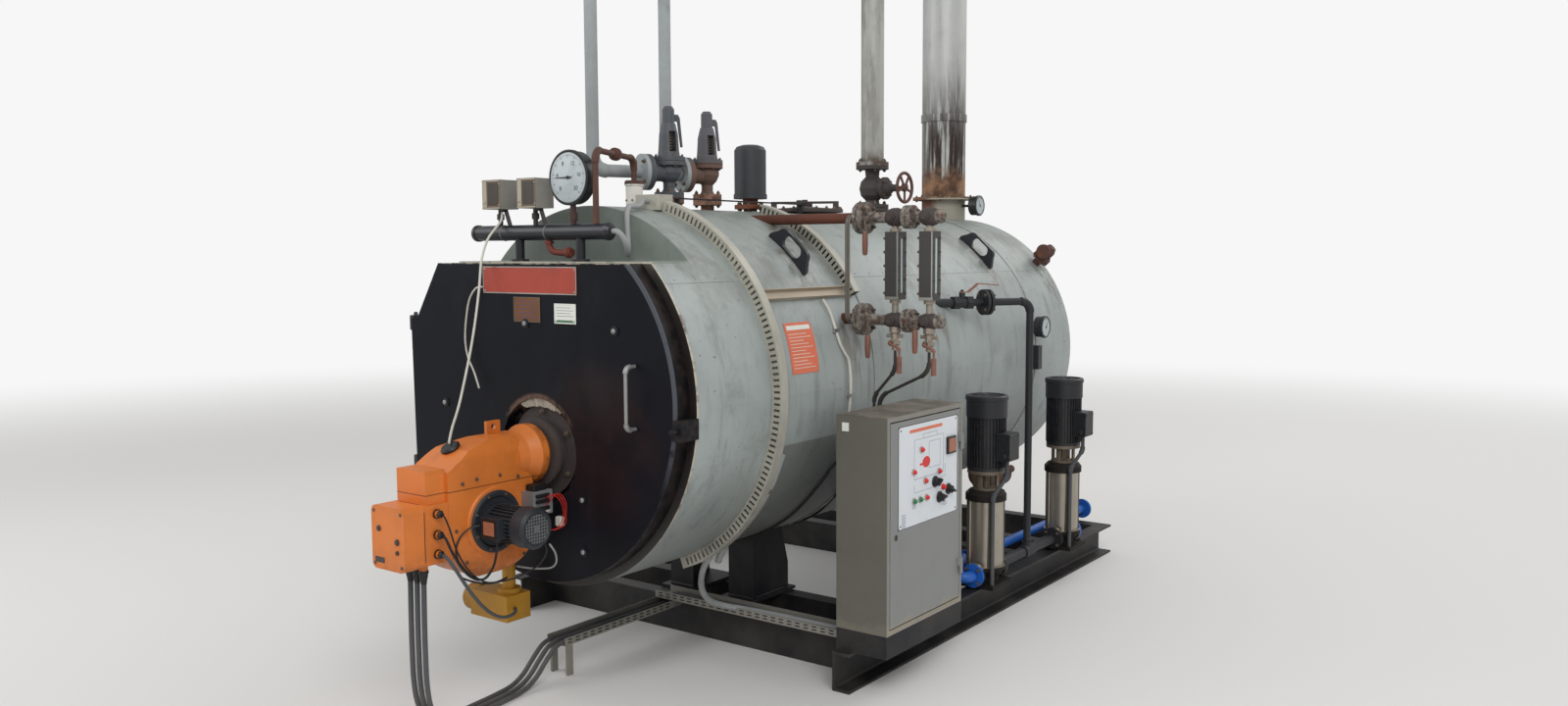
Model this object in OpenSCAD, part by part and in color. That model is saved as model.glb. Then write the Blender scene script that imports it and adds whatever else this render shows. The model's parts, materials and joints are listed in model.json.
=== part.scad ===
// Packaged fire-tube steam boiler on a channel skid, with its burner, fittings,
// switch cabinet and two feed pumps. Millimetres, +Z up, front towards -Y.
// The origin lies on the floor, under the middle of the front cross member.

/* [Boiler shell] */
// Outer diameter of the clad shell
shell_d = 1400; // [1200:10:1600]
// Length of the shell from front lip to rear end
shell_len = 3100; // [2800:10:3600]
// Plate, insulation and cladding together
shell_wall = 55; // [40:1:80]
// Height of the shell's axis above the floor
axis_z = 1100; // [1050:5:1250]
// Depth of the flat-topped step at the front
step_len = 200; // [150:5:300]
// Height of the flat top of the step above the axis
step_rise = 487; // [440:1:520]
// Thickness of the sheets that close the step
step_sheet = 6; // [3:1:10]

/* [Front door] */
// Thickness of the insulated door
door_t = 68; // [50:1:90]
// Radius of the door's round outline
door_r = 670; // [650:1:690]
// Distance of the door's straight left edge from the axis
door_left = 722; // [700:1:760]
// Radius of the recess round the burner
burner_recess_r = 195; // [180:1:205]
// Height of the burner tube above the floor
burner_z = 905; // [880:1:940]

/* [Skid] */
// Height of the channels
beam_h = 150; // [120:5:200]
// Width of their flanges
beam_w = 75; // [60:1:90]
// Thickness of their webs
beam_web = 8; // [6:1:12]
// Thickness of their flanges
beam_flange = 10; // [8:1:14]
// Distance from the axis to the outer face of a rail's web
rail_x = 858; // [800:1:900]
// Distance of the front cross member behind the front lip
cross_front = 780; // [700:5:850]
// Front end of the rails, behind the front lip
rail_front = 580; // [500:5:650]
// Length of the rails
rail_len = 2575; // [2400:5:2800]
// Spacing of the two cross members under a pair of feet
foot_bridge = 300; // [260:5:400]
// Distance between the front and rear pairs of feet
foot_pitch = 1500; // [1300:10:1700]

/* [Burner] */
// Radius of the fan casing
fan_r = 195; // [180:1:215]
// Width of the fan casing
fan_w = 190; // [150:1:220]
// Distance of the fan's axis in front of the front lip
fan_reach = 325; // [300:1:360]
// Height of the fan's axis
fan_z = 705; // [690:1:725]
// Diameter of the fan motor
fan_motor_d = 140; // [120:1:160]

/* [Cabinet] */
// Depth of the switch cabinet
cab_d = 219; // [180:1:260]
// Width of the switch cabinet
cab_w = 567; // [500:1:640]
// Height of the switch cabinet
cab_h = 798; // [700:1:900]
// Height of its plinth
plinth_h = 84; // [60:1:120]
// Sheet thickness of the cabinet
cab_wall = 4; // [2:1:8]
// Front of the cabinet, behind the front lip
cab_y = 613; // [560:1:660]
// Gap round the cabinet door
door_gap = 5; // [5:0.5:8]

/* [Fittings] */
// Distance of the steam outlet behind the front lip
steam_y = 2205; // [2100:5:2300]
// Diameter of the clad steam pipe
steam_pipe_d = 115; // [90:1:140]
// Top of the steam pipe above the floor
steam_top = 2950; // [2700:10:3200]
// Outer diameter of the stack
stack_d = 240; // [200:5:280]
// Distance of the stack behind the front lip
stack_y = 2950; // [2850:5:2960]
// Top of the stack above the floor
stack_top = 3150; // [2900:10:3400]
// Distance of the level gauges behind the front lip
gauge_y = 965; // [900:5:1050]
// Diameter of the handwheel on the steam valve
wheel_d = 160; // [120:1:200]
// Tops of the two vent pipes above the floor
vent_top = 2780; // [2600:10:3000]

/* [Feed pumps] */
// Diameter of the pump sleeves
sleeve_d = 146; // [120:1:170]
// Diameter of the pump motors
pump_motor_d = 180; // [150:1:200]
// Distance of the first pump behind the front lip
pump1_y = 1730; // [1650:5:1800]
// Distance between the pumps
pump_pitch = 840; // [760:5:880]
// Height of the feed inlet above the floor
feed_z = 1390; // [1340:5:1440]

/* [Hidden] */
$fn = 64;

shell_r = shell_d / 2;
bore_r = shell_r - shell_wall;
lip_y = -cross_front - beam_w / 2;
seat = 0.3;
step_z = axis_z + step_rise;
step_half = sqrt(shell_r * shell_r - step_rise * step_rise);
rail_top = beam_h;
elbow_lap = 4;
elbow_bead = 6;

// Height of the shell's surface above a point at distance x from the axis
function shell_top(x) = axis_z + sqrt(shell_r * shell_r - x * x);
// Distance of the shell's surface from the axis plane at height z
function shell_side(z) = sqrt(shell_r * shell_r - (z - axis_z) * (z - axis_z));

function unit(v) = v / norm(v);
function across(v) = abs(v[2]) > 0.9 * norm(v) ? unit(cross([1, 0, 0], v)) : unit(cross([0, 0, 1], v));

door_y = lip_y - door_t;
recess_floor = 22;
handle_x = 490;
handle_z = 1030;
handle_h = 213;
handle_out = 50;
handle_d = 13;
handle_bend = 20;
foot_x = 100;
foot_w = 130;
foot_y = 900;
foot_len = 240;
foot_t = 12;
ring_y = 417;
ring_w = 41;
ring_h = 43;
slot_pitch = 1.75;
box_left = 62;
junction = [110, 90, 60];
ring_end = acos((box_left + junction[0]) / shell_r) - 0.5;
band_y = [1110, 2660];
band_w = 30;
band_t = 3;
side_tray_len = 580;
tray_w = 100;
tray_h = 30;
tray_t = 3;
head_d = 220;
neck_len = 62;
head_len = 220;
fan_x = -130;
box_x = -105;
box_y = -700;
box_z = 600;
cable_x = [-45, -10, 25];
cable_y = -600;
gas_x = -130;
gas_low = 300;
header_y = 60;
header_z = 1700;
header_d = 58;
header_ends = [-450, 240];
switch_x = [-325, -130];
gauge_x = 70;
dial_d = 200;
pot_y = 455;
pot_top = 1905;
outlet_len = 110;
vent_dir = [-0.37, -0.93, 0];
rear_dial_y = 2630;
rear_dial_z = 1240;
rear_dial_d = 112;
valve1_y = 660;
valve2_y = 900;
outlet_z = shell_r + axis_z + 145;
probe_y = 1195;
manhole_y = 1610;
steam_base = shell_r + axis_z;
steam_flange = 165;
flange_t = 18;
valve_h = 255;
bonnet = 150;
wheel_h = 140;
stem_in = 30;
stem_d = 16;
neck_top = 112;
ring_t = 8;
ring_out = 50;
stack_wall = 4;
flue_pcd = 300;
arm_top = 1755;
arm_low = 1360;
arm_d = 42;
column_x = [885, 1035];
reflex_w = 60;
reflex_low = 1440;
reflex_h = 260;
cock_z = 1275;
drain_x = [790, 815];
drain_z = 1060;
pump_x = rail_x + 37;
riser_y = 2160;
port_z = beam_h + 60;
tee_h = 45;
feed_sunk = 37.1;
feed_start_x = shell_side(feed_z) - feed_sunk;
feed_start_y = 1702;
feed_run = [pump_x - feed_start_x, riser_y - feed_start_y, 0];
feed_dir = feed_run / norm(feed_run);
feed_start = [feed_start_x, lip_y + feed_start_y, feed_z];
valve_half = 50;
valve_nut_r = 32;
valve_clear = 9.1;
valve_reach = (feed_sunk + valve_clear + valve_nut_r * feed_dir[1]) / feed_dir[0] + valve_half;
valve_mid = feed_start + feed_dir * valve_reach;
spindle_d = 14;
gland_h = 45;
lever_w = 22;
lever_t = 5;
lug_y = [828, 2430];
cab_x = rail_x - beam_web - 3;
cab_z = beam_h + plinth_h;
rim = 18;
leaf_t = 18;
hinge_pin_d = 8;
knuckle_d = 16;
knuckle_h = 30;
hinge_x = cab_x + cab_d + knuckle_d / 2;
hinge_y = lip_y + cab_y + cab_w - rim - door_gap / 2;
hinge_z = [cab_z + 120, cab_z + cab_h - 180];
panel_y = 691;
panel_z = 612;
panel_w = 440;
panel_h = 376;
panel_t = 2;
base_h = 90;
sleeve_h = 290;
port_reach = 110;
foot_plate = [170, 190, 18];
motor_box_z = 50;
motor_z = beam_h + base_h + sleeve_h + 135;
suction_x = 745;
rear_angle = 40.7;
burner_cable_d = 18;
burner_route = [
    [0, -1417.5, 580], [0, -1417.5, 540], [0, -1419.5, 400], [-1, -1418.5, 290],
    [-3, -1414.5, 200], [-8, -1399.5, 120], [-16, -1367.5, 60], [-28, -1315.5, 24],
    [-40, -1247.5, 11], [-55, -1137.5, 9.3], [-70, -1017.5, 9.3], [-83, -927.5, 14],
    [-92, -862.5, 38], [-97, -807.5, 84], [-100, -757.5, 122], [-100, -705.5, 134.5],
    [-100, -637.5, 132.3], [-100, -77.5, 132.3]
];
switch_cable_d = 9;
switch_route = [
    [-297, -775.5, 1779.7], [-297, -775.5, 1764], [-294, -785.5, 1743], [-286, -820.5, 1714],
    [-272, -868.5, 1674], [-254, -913.5, 1602], [-236, -941.5, 1505], [-216, -977.5, 1395],
    [-192, -1022.5, 1285], [-160, -1079.5, 1178], [-122, -1139.5, 1090], [-86, -1197.5, 1026],
    [-58, -1232.5, 990], [-42, -1247.5, 981]
];
loop_d = 20;
loop_route = [
    [268.3, -757.5, 1700], [288, -757.5, 1699], [306, -753.5, 1686], [313, -744.5, 1664],
    [310, -731.5, 1641], [298, -714.5, 1624], [281, -695.5, 1618], [264, -677.5, 1625],
    [251, -662.5, 1644], [242, -653.5, 1670], [236, -648.5, 1698], [231, -645.5, 1727],
    [226, -641.5, 1755], [220, -632.5, 1779], [212, -613.5, 1792], [201, -585.5, 1794],
    [188, -553.5, 1794], [172, -517.5, 1799], [153, -485.5, 1808], [136, -462.5, 1817],
    [128, -441.5, 1820], [128, -420.8, 1820]
];

// Turns its children so that their z axis points from p along v
module aim(p, v) {
    w = unit(v);
    a = across(w);
    b = cross(w, a);
    multmatrix([
        [a[0], b[0], w[0], p[0]],
        [a[1], b[1], w[1], p[1]],
        [a[2], b[2], w[2], p[2]],
        [0, 0, 0, 1]
    ]) children();
}

// Round bar between two points
module bar(p, q, d) {
    aim(p, q - p) cylinder(d = d, h = norm(q - p));
}

// Quarter-like bend of a pipe at corner c between unit directions a and b
module bend(c, a, b, r, d) {
    turn = acos(a * b);
    start = c - a * r * tan(turn / 2);
    centre = c + unit(b - a) * r / cos(turn / 2);
    x = unit(start - centre);
    z = cross(x, a);
    multmatrix([
        [x[0], a[0], z[0], centre[0]],
        [x[1], a[1], z[1], centre[1]],
        [x[2], a[2], z[2], centre[2]],
        [0, 0, 0, 1]
    ]) rotate_extrude(angle = turn) translate([r, 0]) circle(d = d);
}

// Pipe of diameter d through all points, with thicker elbow fittings of radius r at the corners
module run(pts, d, r) {
    n = len(pts);
    dirs = [for (i = [0 : n - 2]) unit(pts[i + 1] - pts[i])];
    cut = [for (i = [0 : n - 1]) i == 0 || i == n - 1 ? 0 : r * tan(acos(dirs[i - 1] * dirs[i]) / 2) - elbow_lap];
    for (i = [0 : n - 2])
        bar(pts[i] + dirs[i] * cut[i], pts[i + 1] - dirs[i] * cut[i + 1], d);
    for (i = [1 : n - 2])
        bend(pts[i], dirs[i - 1], dirs[i], r, d + elbow_bead);
}

// Plain flange, its back on p and its face towards v
module flange(p, v, d, t) {
    aim(p, v) cylinder(d = d, h = t);
}

// Turned piece with its axis from p along v, profile in [radius, distance from p]
module turned(p, v, profile) {
    aim(p, v) rotate_extrude() polygon(profile);
}

// Rectangle w by h from the origin, with round corners
module rounded(w, h, r) {
    translate([r, 0]) square([w - 2 * r, h]);
    translate([0, r]) square([w, h - 2 * r]);
    for (x = [r, w - r], y = [r, h - r]) translate([x, y]) circle(r = r);
}

// Ribbed round housing, ribs standing out from the core to diameter d
module ribbed(d, h, ribs, rib_t, depth) {
    linear_extrude(h) {
        circle(d = d - 2 * depth);
        for (i = [0 : ribs - 1]) rotate(360 * i / ribs) translate([0, -rib_t / 2]) square([d / 2, rib_t]);
    }
}

// Body of revolution about the shell's axis, profile in [radius, distance behind the lip]
module about_axis() {
    translate([0, lip_y, axis_z]) rotate([-90, 0, 0]) children();
}

// Cuts its children to the outside of the shell, a seating gap away
module off_shell() {
    difference() {
        children();
        about_axis() translate([0, 0, step_len]) cylinder(r = shell_r + seat, h = shell_len, $fn = 512);
    }
}

module shell() {
    color("lightsteelblue") difference() {
        about_axis() difference() {
            cylinder(r = shell_r, h = shell_len, $fn = 128);
            translate([0, 0, -1]) cylinder(r = bore_r, h = shell_len + 2, $fn = 128);
        }
        translate([-shell_r, lip_y - 1, step_z])
            cube([shell_d, step_len + step_sheet + 1, shell_r]);
    }
}

module front_shoulder() {
    color("darkseagreen") {
        translate([-step_half, lip_y, step_z]) cube([2 * step_half, step_len, step_sheet]);
        intersection() {
            about_axis() translate([0, 0, step_len]) cylinder(r = shell_r, h = step_sheet, $fn = 128);
            translate([-shell_r, lip_y, step_z]) cube([shell_d, step_len + step_sheet, shell_r]);
        }
    }
}

module front_door() {
    color("black") difference() {
        union() {
            intersection() {
                translate([0, lip_y, axis_z]) rotate([90, 0, 0]) cylinder(r = door_r, h = door_t, $fn = 128);
                translate([-shell_r, door_y - 1, axis_z - shell_r])
                    cube([shell_d, door_t + 2, step_z - axis_z + shell_r]);
            }
            translate([0, lip_y, 0]) rotate([90, 0, 0]) linear_extrude(door_t) polygon([
                [-door_left + 177, step_z], [-door_left + 42, step_z - 210],
                [-door_left, step_z - 218], [-door_left + 15, axis_z - 480],
                [-door_left + 60, axis_z - 500], [0, axis_z - 500], [0, step_z]
            ]);
        }
        translate([0, door_y - 1, burner_z]) rotate([-90, 0, 0])
            cylinder(r = burner_recess_r, h = door_t - recess_floor + 1);
        translate([0, door_y - 1, burner_z]) rotate([-90, 0, 0]) cylinder(d = head_d + 4, h = door_t + 2);
    }
}

module door_fittings() {
    studs = [[-53, 1370], [395, 1358], [-518, 1049], [228, 567], [228, 754]];
    stud_d = 18;
    clamp_z = axis_z - 95;
    clamp_h = 70;
    clamp_reach = 38;
    color("silver") {
        run([[handle_x, door_y, handle_z], [handle_x, door_y - handle_out, handle_z],
             [handle_x, door_y - handle_out, handle_z + handle_h],
             [handle_x, door_y, handle_z + handle_h]], handle_d, handle_bend);
        for (p = studs) turned([p[0], door_y, p[1]], [0, -1, 0], [
            [0, 0], [stud_d, 0], [stud_d, 3], [stud_d / 2, 4], [stud_d / 2, 10], [stud_d / 4, 14], [0, 14]
        ]);
    }
    color("dimgray") {
        difference() {
            translate([door_r - clamp_reach, door_y - 20, clamp_z])
                cube([2 * clamp_reach + seat, door_t + 20, clamp_h]);
            translate([0, lip_y + 1, axis_z]) rotate([90, 0, 0])
                cylinder(r = door_r + seat, h = door_t + 22, $fn = 256);
        }
        bar([door_r + seat + clamp_reach / 2, door_y - 20, clamp_z + clamp_h / 2],
            [door_r + seat + clamp_reach / 2, door_y - 50, clamp_z + clamp_h / 2], 20);
    }
}

module rear_head() {
    color("lightsteelblue") about_axis() {
        translate([0, 0, shell_len - 40]) cylinder(r = bore_r - seat, h = 40, $fn = 128);
        translate([0, 0, shell_len]) cylinder(r = 280, h = 45);
    }
}

// One welded foot: front plate, side gusset and base plate, cut to the shell's curve
module foot() {
    difference() {
        union() {
            translate([foot_x, 0, rail_top + foot_t]) cube([foot_w, foot_t, axis_z - rail_top]);
            translate([foot_x + foot_w - foot_t, foot_t, rail_top + foot_t])
                rotate([90, 0, 90]) linear_extrude(foot_t)
                    polygon([[0, 0], [foot_len, 0], [foot_len, 110], [0, axis_z - rail_top]]);
        }
        translate([0, -1, axis_z]) rotate([-90, 0, 0])
            cylinder(r = shell_r + seat, h = foot_len + 2 * foot_t, $fn = 128);
    }
    translate([foot_x - 20, -40, rail_top]) cube([foot_w + 40, foot_bridge + 20, foot_t]);
}

module feet() {
    color("slategray") for (y = [0, foot_pitch], s = [0, 1])
        mirror([s, 0, 0]) translate([0, lip_y + foot_y + y, 0]) foot();
}

// Channel section with its web against x = 0 and flanges towards +x
module channel_profile() {
    difference() {
        square([beam_w, beam_h]);
        hull() for (p = [[beam_web + 8, beam_flange + 8], [beam_web + 8, beam_h - beam_flange - 8]])
            translate(p) circle(r = 8, $fn = 32);
        translate([beam_web + 8, beam_flange]) square([beam_w, beam_h - 2 * beam_flange]);
    }
}

module skid_rails() {
    color("dimgray") for (s = [0, 1]) mirror([s, 0, 0])
        translate([rail_x - beam_web, lip_y + rail_front + rail_len, 0]) rotate([90, 0, 0])
            linear_extrude(rail_len) channel_profile();
}

module cross_members() {
    half = rail_x - beam_web;
    last = rail_front + rail_len - beam_w;
    color("dimgray")
        for (y = [cross_front, cross_front + foot_bridge, cross_front + foot_pitch,
                  cross_front + foot_pitch + foot_bridge, last])
            translate([-half, lip_y + y, 0]) rotate([90, 0, 90])
                linear_extrude(2 * half) channel_profile();
}

// Slotted wiring duct bent round the shell between two angles, measured up from +X
module duct_ring(y, from, to) {
    wall = 3;
    slot_w = 9;
    slot_in = 8;
    about_axis() translate([0, 0, y]) rotate(-to) difference() {
        rotate_extrude(angle = to - from, $fn = 128) translate([shell_r + seat, 0]) difference() {
            square([ring_h, ring_w]);
            translate([wall, wall]) square([ring_h - 2 * wall, ring_w - 2 * wall]);
        }
        for (a = [slot_pitch : slot_pitch : to - from - slot_pitch])
            rotate(a) translate([shell_r + slot_in, -slot_w / 2, -1])
                cube([ring_h - 2 * slot_in, slot_w, ring_w + 2]);
    }
}

// Flat band over a joint of the cladding
module seam_band(y, from, to) {
    about_axis() translate([0, 0, y]) rotate(-to)
        rotate_extrude(angle = to - from, $fn = 128) translate([shell_r + seat, 0]) square([band_t, band_w]);
}

// Straight tray from the duct to the band, at an angle up from +X
module side_tray(angle, w, h) {
    wall = 2;
    about_axis() rotate(-angle) translate([shell_r + seat, -w / 2, ring_y + ring_w + seat]) difference() {
        cube([h, w, side_tray_len]);
        translate([wall, wall, -1]) cube([h, w - 2 * wall, side_tray_len + 2]);
    }
}

module tray_rings() {
    color("silver") {
        duct_ring(ring_y, -69, ring_end);
        side_tray(31, 40, 20);
    }
}

module cladding_bands() {
    color("lightgray") for (y = band_y) seam_band(y, -89, 84);
}

module junction_box() {
    color("gainsboro") off_shell()
        translate([box_left, lip_y + ring_y - 20, shell_top(box_left) - 12]) cube(junction);
}

// Shallow slotted tray, length along +x from the origin
module tray(length) {
    difference() {
        cube([length, tray_w, tray_h]);
        translate([-1, tray_t, tray_t]) cube([length + 2, tray_w - 2 * tray_t, tray_h]);
    }
}

module floor_trays() {
    color("darkgray") {
        translate([-160, lip_y + cross_front - 60, beam_h]) tray(rail_x + 140);
        translate([-60, lip_y + 100, 120]) rotate(90) tray(cross_front - 100 - seat);
        for (x = [-155, -70]) translate([x, lip_y + 110, 0]) cube([10, 30, 120]);
    }
}

module burner_mount() {
    plate_t = 16;
    collar_t = 14;
    color("dimgray") translate([0, lip_y - recess_floor, burner_z]) rotate([90, 0, 0]) difference() {
        union() {
            cylinder(r = burner_recess_r - 30, h = plate_t);
            translate([0, 0, -head_len]) cylinder(d = head_d, h = head_len + neck_len);
            translate([0, 0, neck_len - collar_t]) cylinder(d = head_d + 30, h = collar_t);
        }
        translate([0, 0, -head_len - 1]) cylinder(d = head_d - 16, h = head_len);
    }
}

module burner_casing() {
    fan_y = lip_y - fan_reach;
    back = fan_reach - recess_floor - neck_len;
    duct_r = 82;
    rise = burner_z - fan_z;
    edge_r = 60;
    color("darkorange") {
        intersection() {
            translate([fan_x, fan_y, fan_z]) rotate([90, 0, 90]) linear_extrude(fan_w) {
                circle(r = fan_r, $fn = 96);
                polygon([
                    [-fan_r, 0], [-fan_r, rise - 5], [-fan_r + 95, rise + 55], [-fan_r + 215, rise + duct_r],
                    [back - 70, rise + duct_r], [back - 70, rise - duct_r], [fan_r, 40]
                ]);
            }
            translate([fan_x, fan_y + fan_r, fan_z - fan_r]) rotate([90, 0, 0])
                linear_extrude(2 * fan_r + 1) rounded(fan_w, fan_r + rise + duct_r, edge_r);
        }
        turned([fan_x + fan_w / 2 + 25, lip_y - recess_floor - neck_len, burner_z], [0, -1, 0], [
            [0, 0], [duct_r + 10, 0], [duct_r + 26, 20], [duct_r + 26, 50], [duct_r + 6, 90], [duct_r - 4, 130], [0, 130]
        ]);
        difference() {
            translate([fan_x + 60, lip_y - 255, burner_z + duct_r - 5]) cube([14, 60, 50]);
            translate([fan_x + 59, lip_y - 225, burner_z + duct_r + 25]) rotate([0, 90, 0])
                cylinder(d = 22, h = 16);
        }
    }
    color("black") turned([fan_x + 90, fan_y - fan_r + 95, fan_z + rise + 55], [0, -0.47, 0.88], [
        [0, -8], [34, -8], [34, 8], [28, 14], [0, 14]
    ]);
}

module burner_air_box() {
    box_w = 170;
    box_h = 210;
    box_t = 80;
    block_h = 110;
    neck_inset = 6;
    fan_front = -fan_reach - fan_r;
    color("orange") difference() {
        union() {
            translate([box_x, lip_y + box_y + box_t, box_z]) rotate([90, 0, 0])
                linear_extrude(box_t) rounded(box_w, box_h, 22);
            translate([box_x + neck_inset, lip_y + box_y + box_t, box_z + neck_inset])
                cube([box_w - 2 * neck_inset, fan_front - box_y - box_t + fan_r / 2, box_h - 2 * neck_inset]);
            translate([box_x, lip_y + fan_front - 78, box_z + box_h - neck_inset])
                cube([box_w - 20, 78 + seat, block_h]);
            for (z = [40, 105, 175])
                bar([box_x + box_w - neck_inset, lip_y + fan_front - 50, box_z + z],
                    [box_x + box_w + 14, lip_y + fan_front - 50, box_z + z], 24);
            for (x = cable_x)
                bar([x, lip_y + cable_y, box_z + neck_inset], [x, lip_y + cable_y, box_z - 20], 30);
        }
        translate([fan_x - 1, lip_y - fan_reach, fan_z]) rotate([0, 90, 0])
            cylinder(r = fan_r + seat, h = fan_w + 2, $fn = 96);
        translate([fan_x - 1, lip_y + fan_front - seat, fan_z]) cube([fan_w + 2, fan_r, 2 * fan_r]);
    }
}

module burner_motor() {
    dish_r = 108;
    body_h = 125;
    cowl_h = 62;
    color("gray") translate([fan_x + fan_w, lip_y - fan_reach, fan_z]) rotate([0, 90, 0]) {
        rotate_extrude() polygon([
            [0, 0], [dish_r, 0], [dish_r, 9], [dish_r - 7, 14], [dish_r - 18, 14], [dish_r - 26, 8],
            [60, 8], [60, 26], [0, 26]
        ]);
        translate([0, 0, 26]) ribbed(fan_motor_d - 10, body_h, 30, 3, 9);
        translate([0, 0, 26 + body_h]) rotate_extrude() polygon([
            [0, 0], [fan_motor_d / 2, 0], [fan_motor_d / 2, cowl_h - 8], [fan_motor_d / 2 - 8, cowl_h],
            [fan_motor_d / 2 - 14, cowl_h], [fan_motor_d / 2 - 18, cowl_h - 4], [0, cowl_h - 4]
        ]);
        translate([-35, -fan_motor_d / 2 - 22, 40]) cube([70, 60, 80]);
    }
}

module ignition_unit() {
    x = fan_x + fan_w + seat;
    y = lip_y - 205;
    box = [60, 90, 84];
    coil = [45, 60, 80];
    color("silver") translate([x, y, fan_z]) cube(box);
    color("dimgray") {
        translate([x, y + 15, fan_z - coil[2] - seat]) cube(coil);
        for (z = [20, 58]) bar([x + coil[0], y + 45, fan_z - z], [x + coil[0] + 30, y + 45, fan_z - z], 30);
    }
}

module gas_valve() {
    body = [200, 110, 95];
    pipe_x = fan_x + 60;
    color("gold") difference() {
        union() {
            translate([gas_x - 90, lip_y - 215, gas_low]) cube(body);
            turned([gas_x - 90, lip_y - 160, gas_low + 48], [-1, 0, 0], [
                [0, -1], [50, -1], [50, 50], [44, 60], [36, 64], [0, 64]
            ]);
            bar([pipe_x, lip_y - 160, gas_low + 50], [pipe_x, lip_y - 160, fan_z], 48);
            turned([pipe_x, lip_y - 160, gas_low + body[2]], [0, 0, 1], [
                [0, -1], [42, -1], [42, 18], [0, 18]
            ]);
        }
        translate([fan_x - 1, lip_y - fan_reach, fan_z]) rotate([0, 90, 0])
            cylinder(r = fan_r + seat, h = fan_w + 2, $fn = 96);
        translate([fan_x - 1, lip_y - fan_reach, fan_z - seat]) cube([fan_w + 2, fan_reach, fan_r]);
    }
}

// Point on the header's axis, x from the boiler's axis, z above the header
function on_header(x, z) = [x, lip_y + header_y, header_z + z];

// The header's plain tube
module header_tube() {
    bar(on_header(header_ends[0], 0), on_header(header_ends[1], 0), header_d);
}

module header() {
    leg_x = [-220, 105];
    leg_d = 34;
    color("black") {
        header_tube();
        for (k = [0, 1]) turned(on_header(header_ends[k], 0), [2 * k - 1, 0, 0], [
            [0, -1], [header_d / 2 + 3, -1], [header_d / 2 + 3, 12], [header_d / 2 - 8, 24], [0, 28]
        ]);
        for (x = leg_x) {
            bar(on_header(x, step_z + step_sheet - header_z), on_header(x, 0), leg_d);
            bar(on_header(x, step_z + step_sheet - header_z), on_header(x, step_z + step_sheet + 8 - header_z), 2 * leg_d);
        }
    }
}

module pressure_switches() {
    box = [100, 90, 110];
    color("darkgray") for (x = switch_x) difference() {
        union() {
            bar(on_header(x, 0), on_header(x, 90), 18);
            bar(on_header(x, 50), on_header(x, 72), 28);
            translate(on_header(x, 90) - [box[0] / 2, box[1] / 2, 0]) cube(box);
            translate(on_header(x, 80) + [box[0] / 2 - 22, -18, 0]) cylinder(d = 26, h = 20);
            bar(on_header(x + 30, 86), on_header(x + 60, 10), 16);
        }
        header_tube();
    }
}

// Round dial facing v on a stem that comes from behind, back of the case at p
module dial(p, v, d) {
    turned(p, v, [
        [0, 0], [d / 2 - 4, 0], [d / 2 - 4, 30], [d / 2, 34], [d / 2, 46], [d / 2 - 6, 50],
        [d / 2 - 10, 46], [0, 46]
    ]);
}

module dial_gauges() {
    stem_d = 22;
    gauge_h = 195;
    flue_x = stack_d / 2 + seat;
    flue_z = shell_r + axis_z + 70;
    color("black") {
        difference() {
            union() {
                bar(on_header(gauge_x, 0), on_header(gauge_x, gauge_h), stem_d);
                bar(on_header(gauge_x, 40), on_header(gauge_x, 70), stem_d + 10);
                dial(on_header(gauge_x, gauge_h) + [0, 24, 0], [0, -1, 0], dial_d);
            }
            header_tube();
        }
        bar([flue_x, lip_y + stack_y, flue_z], [flue_x + 62, lip_y + stack_y, flue_z], 14);
        dial([flue_x + 60, lip_y + stack_y, flue_z], [1, 0, 0], rear_dial_d);
        off_shell() {
            bar([shell_r - 60, lip_y + rear_dial_y, rear_dial_z], [shell_r + 52, lip_y + rear_dial_y, rear_dial_z], 14);
            dial([shell_r + 20, lip_y + rear_dial_y, rear_dial_z], [1, 0, 0], rear_dial_d);
            translate([shell_r - 40, lip_y + rear_dial_y - 22, rear_dial_z - 215]) cube([78, 44, 120]);
        }
    }
}

module siphon() {
    x = gauge_x + dial_d / 2 + 16;
    tube_d = 22;
    pot_d = 66;
    color("sienna") difference() {
        union() {
            run([on_header(x, 0), on_header(x, 290), [0, lip_y + pot_y, header_z + 290],
                 [0, lip_y + pot_y, pot_top]], tube_d, 45);
            turned(on_header(x / 2, 290) + [0, (pot_y - header_y) / 2, 0], [-x, pot_y - header_y, 0], [
                [0, -24], [18, -24], [18, -10], [24, -10], [24, 10], [18, 10], [18, 24], [0, 24]
            ]);
        }
        header_tube();
    }
    color("white") off_shell() turned([0, lip_y + pot_y, shell_top(0)], [0, 0, 1], [
        [0, -20], [pot_d / 2, -20], [pot_d / 2, pot_top - shell_top(0) - 22],
        [pot_d / 2 + 4, pot_top - shell_top(0) - 20], [pot_d / 2 + 4, pot_top - shell_top(0) - 4],
        [pot_d / 2, pot_top - shell_top(0)], [0, pot_top - shell_top(0)]
    ]);
}

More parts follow.
